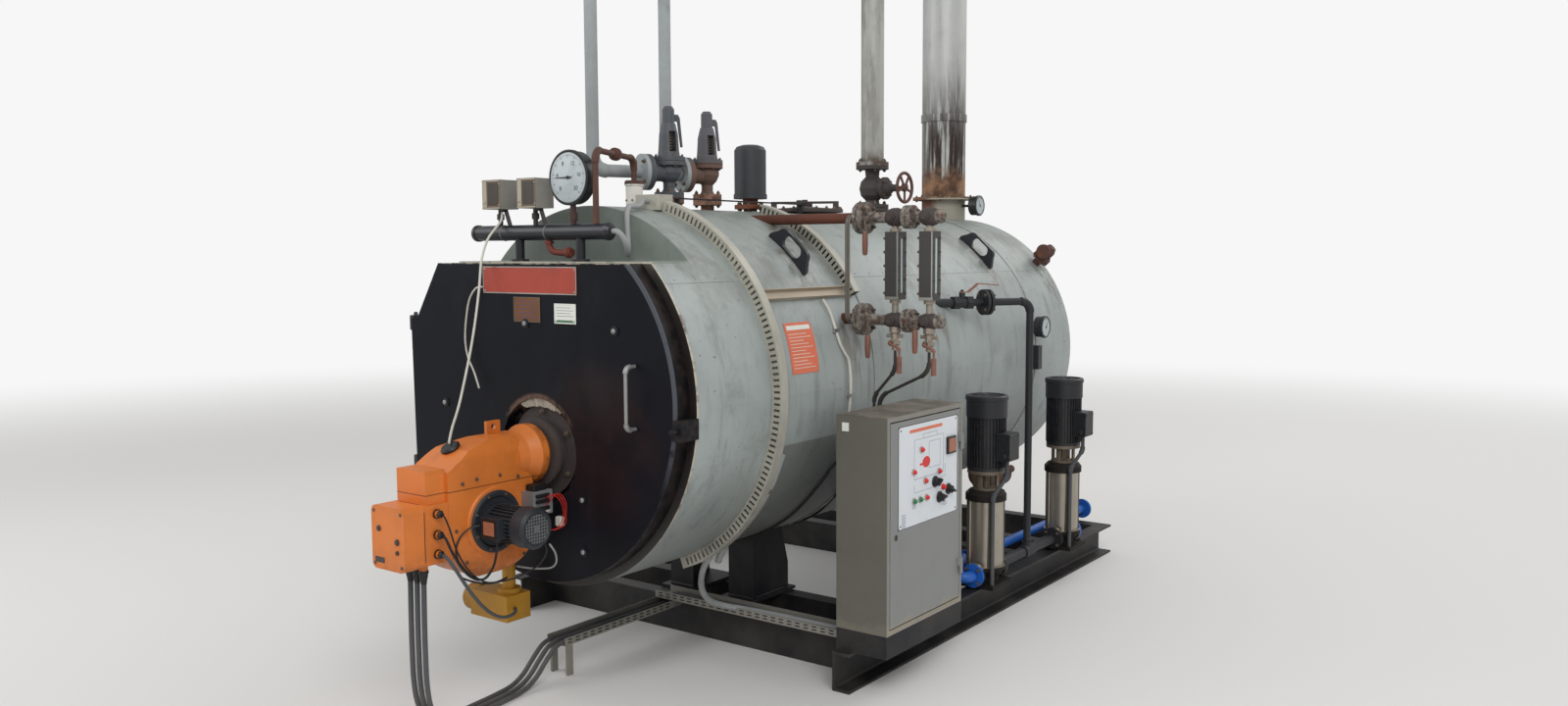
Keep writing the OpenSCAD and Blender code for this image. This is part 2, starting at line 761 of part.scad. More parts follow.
// Spring safety valve on the shell's top: nozzle, flanges, bowl, open bonnet with its spring rod,
// cap, side outlet and lifting lever
module safety_valve(y, outlet) {
    base = [0, lip_y + y, shell_top(0)];
    angle = atan2(outlet[1], outlet[0]);
    off_shell() turned(base, [0, 0, 1], [
        [0, -20], [28, -20], [28, 20], [60, 20], [60, 42], [50, 42], [50, 44], [60, 44], [60, 66],
        [30, 68], [24, 80], [24, 104], [40, 122], [50, 145], [50, 160], [46, 172], [66, 174], [66, 190],
        [58, 190], [58, 192], [66, 192], [66, 208], [0, 208]
    ]);
    translate(base) difference() {
        rotate_extrude() polygon([[0, 208], [46, 208], [42, 232], [38, 300], [28, 342], [0, 342]]);
        rotate(angle + 90) translate([-60, -15, 228]) cube([120, 30, 82]);
    }
    translate(base) {
        translate([0, 0, 228]) cylinder(d = 18, h = 82);
        rotate_extrude() polygon([[0, 342], [24, 342], [24, 398], [16, 410], [0, 412]]);
        rotate(angle) translate([0, -4, 0]) rotate([90, 0, 0]) linear_extrude(8) polygon([
            [0, 380], [0, 352], [-44, 352], [-58, 250], [-66, 250], [-54, 366], [-46, 380]
        ]);
    }
    turned([0, lip_y + y, outlet_z], outlet, [
        [0, 0], [36, 0], [36, outlet_len - 24], [72, outlet_len - 22], [72, outlet_len], [0, outlet_len]
    ]);
}

module safety_valve_front() {
    color("slategray") safety_valve(valve1_y, vent_dir);
}

module safety_valve_rear() {
    color("rosybrown") safety_valve(valve2_y, vent_dir);
}

// Vent pipe from a safety valve's outlet, with its mating flange
module vent_pipe(y, d, reach) {
    p = [0, lip_y + y, outlet_z];
    w = unit(d);
    turned(p + w * (outlet_len + seat), w, [[0, 0], [72, 0], [72, 16], [30, 18], [0, 18]]);
    run([p + w * (outlet_len + 10), p + w * reach, p + w * reach + [0, 0, vent_top - outlet_z]], 50, 55);
}

module vent_pipes() {
    color("gainsboro") {
        vent_pipe(valve1_y, vent_dir, 330);
        vent_pipe(valve2_y, vent_dir, 192);
    }
}

module top_rail() {
    x = 80;
    front = 555;
    length = 930;
    width = 25;
    thick = 5;
    post_in = 45;
    sunk = 10;
    foot_z = shell_top(x + width) - sunk;
    rail_z = shell_r + axis_z + 35;
    color("dimgray") {
        translate([x, lip_y + front, rail_z]) cube([width, length, thick]);
        off_shell() for (y = [front + post_in, front + length - post_in])
            translate([x, lip_y + y, foot_z]) cube([width, thick, rail_z - foot_z]);
    }
}

module level_probe() {
    can_d = 140;
    can_h = 235;
    base = [0, lip_y + probe_y, shell_top(0)];
    color("brown") off_shell() turned(base, [0, 0, 1], [
        [0, -20], [30, -20], [30, 12], [70, 12], [70, 30], [34, 32], [34, 56], [0, 56]
    ]);
    color("dimgray") turned(base + [0, 0, 56 + seat], [0, 0, 1], [
        [0, 0], [can_d / 2 + 4, 0], [can_d / 2 + 4, 20], [can_d / 2, 22], [can_d / 2, can_h - 24],
        [can_d / 2 - 10, can_h - 8], [can_d / 4, can_h], [0, can_h]
    ]);
}

module manhole() {
    neck_d = 300;
    cover_d = 360;
    base = [0, lip_y + manhole_y, shell_top(0)];
    color("dimgray") {
        off_shell() turned(base, [0, 0, 1], [
            [0, -60], [neck_d / 2, -60], [neck_d / 2, 4], [cover_d / 2, 6], [cover_d / 2, 20],
            [cover_d / 2 - 12, 22], [60, 30], [26, 34], [26, 46], [14, 48], [14, 66], [0, 66]
        ]);
        for (a = [0, 90]) translate(base + [0, 0, 40]) rotate(a + 25) difference() {
            translate([-cover_d / 2 + 20, -9, -20]) cube([cover_d - 40, 18, 38]);
            translate([-cover_d / 2 + 45, -10, -21]) cube([cover_d - 90, 20, 28]);
        }
    }
}

// Four bolt holes on the steam flanges' bolt circle
module steam_bolts(z) {
    for (i = [0 : 3]) translate([0, 0, z]) rotate(45 + 90 * i)
        translate([62.5, 0, 0]) cylinder(d = 18, h = flange_t + 2);
}

module steam_pipe() {
    color("silver") translate([0, lip_y + steam_y, 0]) difference() {
        union() {
            translate([0, 0, steam_base + valve_h]) cylinder(d = steam_pipe_d, h = steam_top - steam_base - valve_h);
            translate([0, 0, steam_base + valve_h]) cylinder(d = steam_flange, h = flange_t);
            translate([0, 0, steam_top - flange_t]) cylinder(d = steam_flange, h = flange_t);
        }
        translate([0, 0, steam_top - 80]) cylinder(d = 54, h = 81);
        steam_bolts(steam_top - flange_t - 1);
    }
}

module steam_valve() {
    bore = stem_d + 2 * seat;
    base = [0, lip_y + steam_y, steam_base];
    color("dimgray") difference() {
        union() {
            off_shell() turned(base, [0, 0, 1], [
                [0, -20], [30, -20], [30, 22], [steam_flange / 2, 24], [steam_flange / 2, 24 + flange_t],
                [steam_flange / 2 - 12, 24 + flange_t], [steam_flange / 2 - 12, 26 + flange_t],
                [steam_flange / 2, 26 + flange_t], [steam_flange / 2, 24 + 2 * flange_t], [38, 64], [34, 80],
                [58, 105], [66, wheel_h], [58, 175], [34, 200], [38, valve_h - flange_t],
                [steam_flange / 2, valve_h - flange_t], [steam_flange / 2, valve_h], [0, valve_h]
            ]);
            turned(base + [0, 0, wheel_h], [1, 0, 0], [
                [0, 0], [44, 0], [44, 66], [56, 68], [56, 84], [40, 86], [28, 110], [18, 118],
                [18, bonnet], [0, bonnet]
            ]);
        }
        translate(base + [bonnet - stem_in, 0, wheel_h]) rotate([0, 90, 0]) cylinder(d = bore, h = stem_in + 1);
    }
}

module steam_wheel() {
    rim_d = 16;
    spokes = 5;
    hub_x = 40;
    color("dimgray") translate([bonnet, lip_y + steam_y, steam_base + wheel_h]) rotate([0, 90, 0]) {
        translate([0, 0, 1 - stem_in]) cylinder(d = stem_d, h = stem_in + hub_x + 14);
        translate([0, 0, hub_x]) {
            rotate_extrude() translate([(wheel_d - rim_d) / 2, 0]) circle(d = rim_d);
            for (i = [0 : spokes - 1]) rotate(360 / spokes * i)
                translate([0, -5, -4]) cube([(wheel_d - rim_d) / 2, 10, 8]);
            cylinder(d = 40, h = 20, center = true);
        }
    }
}

module flue_neck() {
    color("rosybrown") translate([0, lip_y + stack_y, 0]) difference() {
        union() {
            translate([0, 0, shell_r + axis_z - 60]) cylinder(d = stack_d, h = neck_top + 60);
            translate([0, 0, shell_r + axis_z + neck_top - ring_t]) cylinder(d = stack_d + 2 * ring_out, h = ring_t);
        }
        translate([0, 0, axis_z]) cylinder(d = stack_d - 2 * stack_wall, h = shell_r + 300);
        translate([0, -stack_y, axis_z]) rotate([-90, 0, 0]) cylinder(r = shell_r + seat, h = shell_len, $fn = 512);
    }
}

module stack() {
    low = shell_r + axis_z + neck_top + seat;
    color("silver") translate([0, lip_y + stack_y, 0]) difference() {
        union() {
            translate([0, 0, low]) cylinder(d = stack_d, h = stack_top - low);
            for (z = [low, stack_top - ring_t]) translate([0, 0, z])
                cylinder(d = stack_d + 2 * ring_out, h = ring_t);
            translate([0, 0, low + 420]) cylinder(d = stack_d + 12, h = 40);
        }
        translate([0, 0, low - 1]) cylinder(d = stack_d - 2 * stack_wall, h = stack_top);
        for (i = [0 : 7]) translate([0, 0, stack_top - ring_t - 1]) rotate(45 * i + 22.5)
            translate([flue_pcd / 2, 0, 0]) cylinder(d = 14, h = ring_t + 2);
    }
}

module level_arms() {
    flange_d = 125;
    color("sienna") off_shell() for (z = [arm_top, arm_low]) {
        bar([0, lip_y + gauge_y, z], [column_x[1] + 40, lip_y + gauge_y, z], arm_d);
        for (x = [722, 742, 930, 950]) flange([x, lip_y + gauge_y, z], [1, 0, 0], x < 900 ? flange_d : 90, 16);
        turned([column_x[1] + 40, lip_y + gauge_y, z], [1, 0, 0], [
            [0, -10], [arm_d / 2 + 5, -10], [arm_d / 2 + 5, 14], [arm_d / 2 - 6, 22], [0, 22]
        ]);
    }
}

// One reflex gauge: body with a raised glass frame towards +X
module reflex_gauge(x) {
    frame_t = 8;
    glass_w = 22;
    translate([x - reflex_w / 2, lip_y + gauge_y - reflex_w / 2, reflex_low]) {
        cube([reflex_w - frame_t, reflex_w, reflex_h]);
        translate([reflex_w - frame_t, 0, 0]) difference() {
            cube([frame_t, reflex_w, reflex_h]);
            translate([-1, (reflex_w - glass_w) / 2, 25]) cube([frame_t + 2, glass_w, reflex_h - 50]);
        }
    }
}

module level_gauges() {
    color("dimgray") for (x = column_x) reflex_gauge(x);
}

module gauge_cocks() {
    cock_d = 26;
    drain_d = 12;
    color("silver") {
        difference() {
            for (x = column_x) {
                for (z = [[reflex_low + reflex_h, arm_top], [arm_low, reflex_low]])
                    bar([x, lip_y + gauge_y, z[0]], [x, lip_y + gauge_y, z[1]], cock_d);
                turned([x, lip_y + gauge_y, reflex_low + reflex_h], [0, 0, 1], [
                    [0, 0], [22, 0], [22, 12], [0, 12]
                ]);
                turned([x, lip_y + gauge_y, reflex_low], [0, 0, -1], [[0, 0], [22, 0], [22, 14], [0, 14]]);
                bar([x, lip_y + gauge_y, arm_low], [x, lip_y + gauge_y, cock_z - 30], cock_d);
                bar([x, lip_y + gauge_y, cock_z], [x, lip_y + gauge_y - 32, cock_z], cock_d + 2);
            }
            for (z = [arm_top, arm_low])
                bar([0, lip_y + gauge_y, z], [column_x[1] + 40, lip_y + gauge_y, z], arm_d);
        }
        for (k = [0, 1]) run([
            [column_x[k], lip_y + gauge_y, cock_z - 30], [column_x[k], lip_y + gauge_y, cock_z - 110],
            [drain_x[k], lip_y + gauge_y, drain_z], [drain_x[k], lip_y + gauge_y, beam_h - 60]
        ], drain_d, 60);
    }
}

module cock_levers() {
    grip_d = 20;
    color("orange") for (x = column_x) {
        y = lip_y + gauge_y - 32 - seat;
        run([[x, y, cock_z], [x, y - 18, cock_z], [x + 48, y - 18, cock_z - 20], [x + 48, y - 18, cock_z - 55]], 9, 12);
        bar([x + 48, y - 18, cock_z - 50], [x + 48, y - 18, cock_z - 115], grip_d);
    }
}

module feed_line() {
    p = [pump_x, lip_y + riser_y, feed_z];
    color("dimgray") {
        run([valve_mid + feed_dir * valve_half, p, [pump_x, lip_y + riser_y, port_z + tee_h + seat]], 34, 50);
        off_shell() bar(feed_start, valve_mid - feed_dir * valve_half, 40);
        for (k = [290, 312]) flange(feed_start + feed_dir * k, feed_dir, 118, 14);
    }
}

module feed_valve() {
    color("dimgray") {
        bar(valve_mid - feed_dir * valve_half, valve_mid + feed_dir * valve_half, 48);
        for (s = [-1, 1]) aim(valve_mid + feed_dir * s * (valve_half - 16) - feed_dir * 16, feed_dir)
            cylinder(r = valve_nut_r, h = 32, $fn = 6);
        bar(valve_mid, valve_mid + [0, 0, gland_h], 28);
        bar(valve_mid, valve_mid + [0, 0, gland_h + 14], spindle_d);
    }
}

module feed_lever() {
    angle = atan2(feed_dir[1], feed_dir[0]);
    color("orange") translate(valve_mid + [0, 0, gland_h + seat]) rotate(angle) difference() {
        union() {
            cylinder(d = 30, h = lever_t);
            translate([0, lever_w / 2, 0]) rotate([90, 0, 0]) linear_extrude(lever_w) polygon([
                [0, 0], [32, 0], [82, 38], [185, 30], [185, 30 + lever_t], [81, 38 + lever_t],
                [30, lever_t], [0, lever_t]
            ]);
        }
        translate([0, 0, -1]) cylinder(d = spindle_d + 2 * seat, h = lever_t + 2);
    }
}

module lifting_lugs() {
    plate_t = 18;
    half = 115;
    high = 78;
    hole_r = 26;
    hole_half = 52;
    corner = 34;
    color("black") off_shell() for (y = lug_y, s = [0, 1]) mirror([s, 0, 0])
        translate([0, lip_y + y, axis_z]) rotate([0, -47.5, 0]) translate([shell_r - 8, -plate_t / 2, 0])
            rotate([-90, 0, 0]) linear_extrude(plate_t) difference() {
                union() {
                    polygon([
                        [0, -half], [16, -half], [high - 14, -half + corner], [high, -half + corner + 20],
                        [high, half - corner - 20], [high - 14, half - corner], [16, half], [0, half]
                    ]);
                    for (z = [-1, 1]) translate([high - corner, z * (half - corner - 24)]) circle(r = corner);
                }
                translate([high / 2 - hole_r + 4, -hole_half + hole_r]) square([2 * hole_r, 2 * (hole_half - hole_r)]);
                for (z = [-1, 1]) translate([high / 2 + 4, z * (hole_half - hole_r)]) circle(r = hole_r);
            }
}

module rear_valve() {
    out = [cos(rear_angle), 0, sin(rear_angle)];
    p = [0, lip_y + shell_len - 86, axis_z];
    color("sienna") off_shell() {
        turned(p, out, [
            [0, shell_r - 30], [22, shell_r - 30], [22, shell_r + 30], [48, shell_r + 31], [48, shell_r + 45],
            [40, shell_r + 45], [40, shell_r + 47], [48, shell_r + 47], [48, shell_r + 61], [24, shell_r + 63],
            [34, shell_r + 85], [34, shell_r + 105], [22, shell_r + 128], [0, shell_r + 128]
        ]);
        bar(p + out * (shell_r + 95), p + out * (shell_r + 95) + [0, -70, 0], 30);
        flange(p + out * (shell_r + 95) + [0, -56, 0], [0, -1, 0], 76, 14);
    }
}

// Blowdown pipe under the shell with its valve
module blowdown() {
    x = shell_r * 4 / 7;
    y = lip_y + shell_len - 325;
    z = axis_z - shell_r + 20;
    pipe_d = 42;
    flange_d = 130;
    flange_w = 14;
    color("dimgray") {
        off_shell() run([[x, y - 215, axis_z - shell_r / 2], [x, y - 215, z], [x, y + 245, z]], pipe_d, 45);
        for (d = [-115, -99, 85, 101]) flange([x, y + d, z], [0, 1, 0], flange_d, flange_w);
        turned([x, y - 85, z], [0, 1, 0], [
            [0, 0], [30, 0], [52, 50], [58, 85], [52, 120], [30, 170], [0, 170]
        ]);
        bar([x, y, z], [x, y, z + 82], 36);
    }
}

module cabinet_plinth() {
    color("dimgray") translate([cab_x, lip_y + cab_y, beam_h]) difference() {
        cube([cab_d, cab_w, plinth_h]);
        translate([cab_wall, cab_wall, -1]) cube([cab_d - 2 * cab_wall, cab_w - 2 * cab_wall, plinth_h + 2]);
    }
}

// Half of a lift-off hinge: a knuckle on the axis and the strap that holds it, towards s
module knuckle(s) {
    cylinder(d = knuckle_d, h = knuckle_h);
    translate([-knuckle_d / 2, s > 0 ? 2.5 : -rim, 0]) cube([knuckle_d / 2, rim - 2.5, knuckle_h]);
}

module cabinet_body() {
    color("darkgray") {
        translate([cab_x, lip_y + cab_y, cab_z]) difference() {
            cube([cab_d, cab_w, cab_h]);
            translate([cab_wall, cab_wall, cab_wall])
                cube([cab_d - leaf_t - door_gap - 2 * cab_wall, cab_w - 2 * cab_wall, cab_h - 2 * cab_wall]);
            translate([cab_d - leaf_t - door_gap - cab_wall - 1, rim, rim])
                cube([leaf_t + door_gap + cab_wall + 2, cab_w - 2 * rim, cab_h - 2 * rim]);
        }
        for (z = hinge_z) translate([hinge_x, hinge_y, z]) {
            knuckle(1);
            cylinder(d = hinge_pin_d, h = 2 * knuckle_h);
        }
    }
}

module cabinet_door() {
    color("darkgray") difference() {
        union() {
            translate([cab_x + cab_d - leaf_t, lip_y + cab_y + rim + door_gap, cab_z + rim + door_gap])
                cube([leaf_t, cab_w - 2 * (rim + door_gap), cab_h - 2 * (rim + door_gap)]);
            for (z = hinge_z) translate([hinge_x, hinge_y, z + knuckle_h + seat]) knuckle(-1);
        }
        for (z = hinge_z) translate([hinge_x, hinge_y, z + knuckle_h])
            cylinder(d = hinge_pin_d + 2 * seat, h = 2 * knuckle_h);
    }
}

module mimic_panel() {
    color("white") translate([cab_x + cab_d, lip_y + panel_y, panel_z]) rotate([90, 0, 90])
        linear_extrude(panel_t) rounded(panel_w, panel_h, 10);
}

// Knobs, lamps and the meter that stand on the panel, placed as [across, up] from its lower front corner
module panel_controls() {
    knobs = [[265, 140], [300, 75], [370, 95]];
    lamps = [[150, 262], [190, 205], [105, 205], [180, 160], [270, 185], [185, 105], [130, 95], [95, 95]];
    meter = [355, 235];
    meter_w = 62;
    x = cab_x + cab_d + panel_t + seat;
    color("dimgray") {
        for (k = knobs) turned([x, lip_y + panel_y + k[0], panel_z + k[1]], [1, 0, 0], [
            [0, 0], [22, 0], [22, 6], [16, 8], [14, 30], [0, 30]
        ]);
        for (k = lamps) turned([x, lip_y + panel_y + k[0], panel_z + k[1]], [1, 0, 0], [
            [0, 0], [13, 0], [13, 5], [10, 6], [9, 14], [0, 17]
        ]);
        translate([x, lip_y + panel_y + meter[0], panel_z + meter[1]]) cube([14, meter_w, meter_w]);
    }
}

// Wet end of one vertical feed pump: ported foot, strapped sleeve, head and open lantern
module pump_end(y) {
    head_h = 45;
    lantern_h = 90;
    window_w = 62;
    strap = [8, 26];
    z1 = base_h + sleeve_h;
    translate([pump_x, lip_y + y, beam_h]) {
        translate([-foot_plate[0] / 2, -foot_plate[1] / 2, 0]) cube(foot_plate);
        rotate_extrude() polygon([
            [0, foot_plate[2] - 1], [58, foot_plate[2] - 1], [60, 40], [82, base_h - 22], [88, base_h - 16], [88, base_h], [0, base_h]
        ]);
        translate([0, 0, base_h]) cylinder(d = sleeve_d, h = sleeve_h);
        for (i = [0 : 3]) rotate(45 + 90 * i)
            translate([sleeve_d / 2 - 3, -strap[1] / 2, base_h]) cube([strap[0], strap[1], sleeve_h]);
        translate([0, 0, z1]) rotate_extrude() polygon([
            [0, 0], [90, 0], [90, 28], [74, head_h], [0, head_h]
        ]);
        translate([0, 0, z1 + head_h]) difference() {
            union() {
                cylinder(d = 116, h = lantern_h);
                translate([0, 0, lantern_h - 14]) cylinder(d = pump_motor_d - 14, h = 14);
            }
            for (a = [0, 90]) rotate(a + 45) translate([-90, -window_w / 2, 12])
                cube([180, window_w, lantern_h - 32]);
        }
        translate([0, 0, z1 + head_h + 11]) cylinder(d = 30, h = lantern_h - 30);
        for (s = [-1, 1]) {
            bar([0, 0, port_z - beam_h], [0, s * port_reach, port_z - beam_h], 60);
            flange([0, s * (port_reach - 16), port_z - beam_h], [0, s, 0], 104, 16);
        }
    }
}

module pump_ends() {
    color("silver") for (y = [pump1_y, pump1_y + pump_pitch]) pump_end(y);
}

module pump_motors() {
    body_h = 235;
    cap_h = 95;
    box = [60, 100, 120];
    color("black") for (y = [pump1_y, pump1_y + pump_pitch]) translate([pump_x, lip_y + y, motor_z]) {
        cylinder(d = pump_motor_d - 14, h = 14);
        translate([0, 0, 14]) ribbed(pump_motor_d - 8, body_h - 14, 36, 3, 10);
        translate([0, 0, body_h]) rotate_extrude() polygon([
            [0, 0], [pump_motor_d / 2, 0], [pump_motor_d / 2, cap_h - 22], [pump_motor_d / 2 + 4, cap_h - 20],
            [pump_motor_d / 2 + 4, cap_h - 4], [pump_motor_d / 2, cap_h], [pump_motor_d / 2 - 12, cap_h],
            [pump_motor_d / 2 - 14, cap_h - 5], [0, cap_h - 5]
        ]);
        translate([pump_motor_d / 2 - 20, -box[1] / 2, motor_box_z]) cube(box);
    }
}

// Cable conduits from under the motors' terminal boxes down to the pumps' feet
module motor_conduits() {
    x = pump_x + pump_motor_d / 2 + 20;
    box_side = 20;
    low = [pump_x + 71, 75, beam_h + foot_plate[2] + seat];
    color("gray") for (y = [pump1_y, pump1_y + pump_pitch]) run([
        [x, lip_y + y - box_side, motor_z + motor_box_z - seat], [x, lip_y + y - box_side, motor_z - 20],
        [low[0], lip_y + y - low[1], motor_z - 105], [low[0], lip_y + y - low[1], low[2]]
    ], 18, 50);
}

module discharge_manifold() {
    y1 = lip_y + pump1_y + port_reach + seat;
    y2 = lip_y + pump1_y + pump_pitch - port_reach - seat;
    tee_d = 62;
    color("dimgray") {
        bar([pump_x, y1, port_z], [pump_x, y2, port_z], 50);
        flange([pump_x, y1, port_z], [0, 1, 0], 104, 16);
        flange([pump_x, y2, port_z], [0, -1, 0], 104, 16);
        bar([pump_x, lip_y + riser_y - 50, port_z], [pump_x, lip_y + riser_y + 50, port_z], tee_d);
        bar([pump_x, lip_y + riser_y, port_z], [pump_x, lip_y + riser_y, port_z + tee_h], 46);
    }
}

// Suction header along the skid with a branch to each pump, the front one through a strainer
module suction_line() {
    y1 = lip_y + pump1_y - port_reach - seat;
    y2 = lip_y + pump1_y + pump_pitch + port_reach + seat;
    turn = 60;
    pipe_d = 44;
    color("dodgerblue") {
        run([[pump_x, y1, port_z], [pump_x, y1 - turn, port_z], [suction_x, y1 - turn, port_z],
             [suction_x, lip_y + rail_front + rail_len + 40, port_z]], pipe_d, 40);
        run([[pump_x, y2, port_z], [pump_x, y2 + turn, port_z], [suction_x - 1, y2 + turn, port_z]], pipe_d, 40);
        flange([pump_x, y1, port_z], [0, -1, 0], 104, 14);
        flange([pump_x, y2, port_z], [0, 1, 0], 104, 14);
        turned([suction_x, lip_y + pump1_y - 60, port_z], [0, 1, 0], [
            [0, 0], [48, 0], [48, 14], [30, 16], [44, 50], [44, 120], [30, 154], [48, 156], [48, 170], [0, 170]
        ]);
        bar([suction_x, lip_y + pump1_y + 25, port_z], [suction_x + 62, lip_y + pump1_y + 25, port_z - 40], 56);
        flange([suction_x, lip_y + rail_front + rail_len + 40, port_z], [0, -1, 0], 104, 14);
    }
}

// Closed tube of n sides swept along hand-placed points
module cord(pts, d, n) {
    last = len(pts) - 1;
    dirs = [for (i = [0 : last]) unit(pts[min(i + 1, last)] - pts[max(i - 1, 0)])];
    rings = [for (i = [0 : last]) let (a = across(dirs[i]), b = cross(dirs[i], a))
        for (k = [0 : n - 1]) pts[i] + d / 2 * (cos(360 * k / n) * a + sin(360 * k / n) * b)];
    sides = [for (i = [0 : last - 1], k = [0 : n - 1])
        [i * n + k, i * n + (k + 1) % n, (i + 1) * n + (k + 1) % n, (i + 1) * n + k]];
    polyhedron(rings, concat(sides, [[for (k = [n - 1 : -1 : 0]) k]], [[for (k = [0 : n - 1]) last * n + k]]));
}

module burner_cables() {
    color("gray") for (x = cable_x) cord([for (p = burner_route) p + [x, 0, 0]], burner_cable_d, 8);
}

module switch_cables() {
    color("whitesmoke") cord(switch_route, switch_cable_d, 8);
    color("gray") cord(loop_route, loop_d, 8);
}

shell();
front_shoulder();
front_door();
door_fittings();
rear_head();
feet();
skid_rails();
cross_members();
tray_rings();
cladding_bands();
junction_box();
floor_trays();
burner_mount();
burner_casing();
burner_air_box();
burner_motor();
ignition_unit();
gas_valve();
header();
pressure_switches();
dial_gauges();
siphon();
safety_valve_front();
safety_valve_rear();
vent_pipes();
top_rail();
level_probe();
manhole();
steam_pipe();
steam_valve();
steam_wheel();
flue_neck();
stack();
level_arms();
level_gauges();
gauge_cocks();
cock_levers();
feed_line();
feed_valve();
feed_lever();
lifting_lugs();
rear_valve();
blowdown();
cabinet_plinth();
cabinet_body();
cabinet_door();
mimic_panel();
panel_controls();
pump_ends();
pump_motors();
motor_conduits();
discharge_manifold();
suction_line();
burner_cables();
switch_cables();
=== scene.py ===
import json
import math
import random

import bmesh
import bpy
from mathutils import Matrix, Vector


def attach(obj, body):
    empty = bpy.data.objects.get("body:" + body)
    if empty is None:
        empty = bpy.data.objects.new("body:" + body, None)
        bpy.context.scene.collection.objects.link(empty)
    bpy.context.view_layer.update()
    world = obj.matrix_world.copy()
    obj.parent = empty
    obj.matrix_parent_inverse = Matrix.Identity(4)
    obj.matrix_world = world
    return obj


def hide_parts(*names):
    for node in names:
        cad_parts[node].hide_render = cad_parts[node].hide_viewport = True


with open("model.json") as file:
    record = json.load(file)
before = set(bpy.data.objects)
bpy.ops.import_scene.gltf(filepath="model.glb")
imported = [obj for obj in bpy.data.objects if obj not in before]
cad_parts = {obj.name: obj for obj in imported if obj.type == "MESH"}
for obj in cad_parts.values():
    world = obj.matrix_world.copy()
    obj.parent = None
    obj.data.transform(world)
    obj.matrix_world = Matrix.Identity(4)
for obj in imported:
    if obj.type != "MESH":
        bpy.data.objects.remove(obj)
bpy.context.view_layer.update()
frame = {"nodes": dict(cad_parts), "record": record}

# Places, in metres, as the CAD part has them
LIP = -0.8175
AXIS_Z = 1.1
SHELL_R = 0.7
DOOR_Y = LIP - 0.068
BURNER_Z = 0.905
FAN = Vector((-0.13, LIP - 0.325, 0.705))
FAN_W = 0.19
VENT_DIR = Vector((-0.37, -0.93, 0)).normalized()
SAFETY_VALVE_Y = (LIP + 0.66, LIP + 0.9)
SWITCH_X = (-0.325, -0.13)
STEAM_Y = LIP + 2.205
STACK_Y = LIP + 2.95
GAUGE_Y = LIP + 0.965
COLUMN_X = (0.885, 1.035)
ARM_Z = (1.755, 1.36)
PUMP_X = 0.895
PUMP_Y = (LIP + 1.73, LIP + 2.57)
CAB_FACE = 1.066
CAB_BACK = 0.847
CAB_Y = LIP + 0.613
CAB_W = 0.567
CAB_Z = 0.234
CAB_H = 0.798
PANEL_Y = LIP + 0.691
PANEL_Z = 0.612

X, Y, Z = Vector((1, 0, 0)), Vector((0, 1, 0)), Vector((0, 0, 1))

# Colours are given as they look on a screen
RUST_DARK = (0.29, 0.17, 0.12)
RUST_LIGHT = (0.55, 0.33, 0.2)
DUST = (0.5, 0.46, 0.4)
GRIME = (0.17, 0.16, 0.15)

# Drips on the shell's right side: place behind the lip, height they start at and how far down they reach
SHELL_STAINS = ((0.965, 1.72, 0.25), (0.965, 1.33, 0.45), (1.702, 1.36, 0.35), (0.828, 1.62, 0.3),
                (2.43, 1.62, 0.3), (3.014, 1.55, 0.35))
CAN_FOOT_Z = 1.8565
CAP_LINE = 1.4292


def srgb(r, g, b):
    """Linear colour of a colour as it looks on a screen."""
    return tuple(c / 12.92 if c <= 0.04045 else ((c + 0.055) / 1.055) ** 2.4 for c in (r, g, b)) + (1.0,)


def scaled(colour, k):
    """Linear colour made darker or lighter."""
    return tuple(min(1.0, c * k) for c in colour[:3]) + (1.0,)


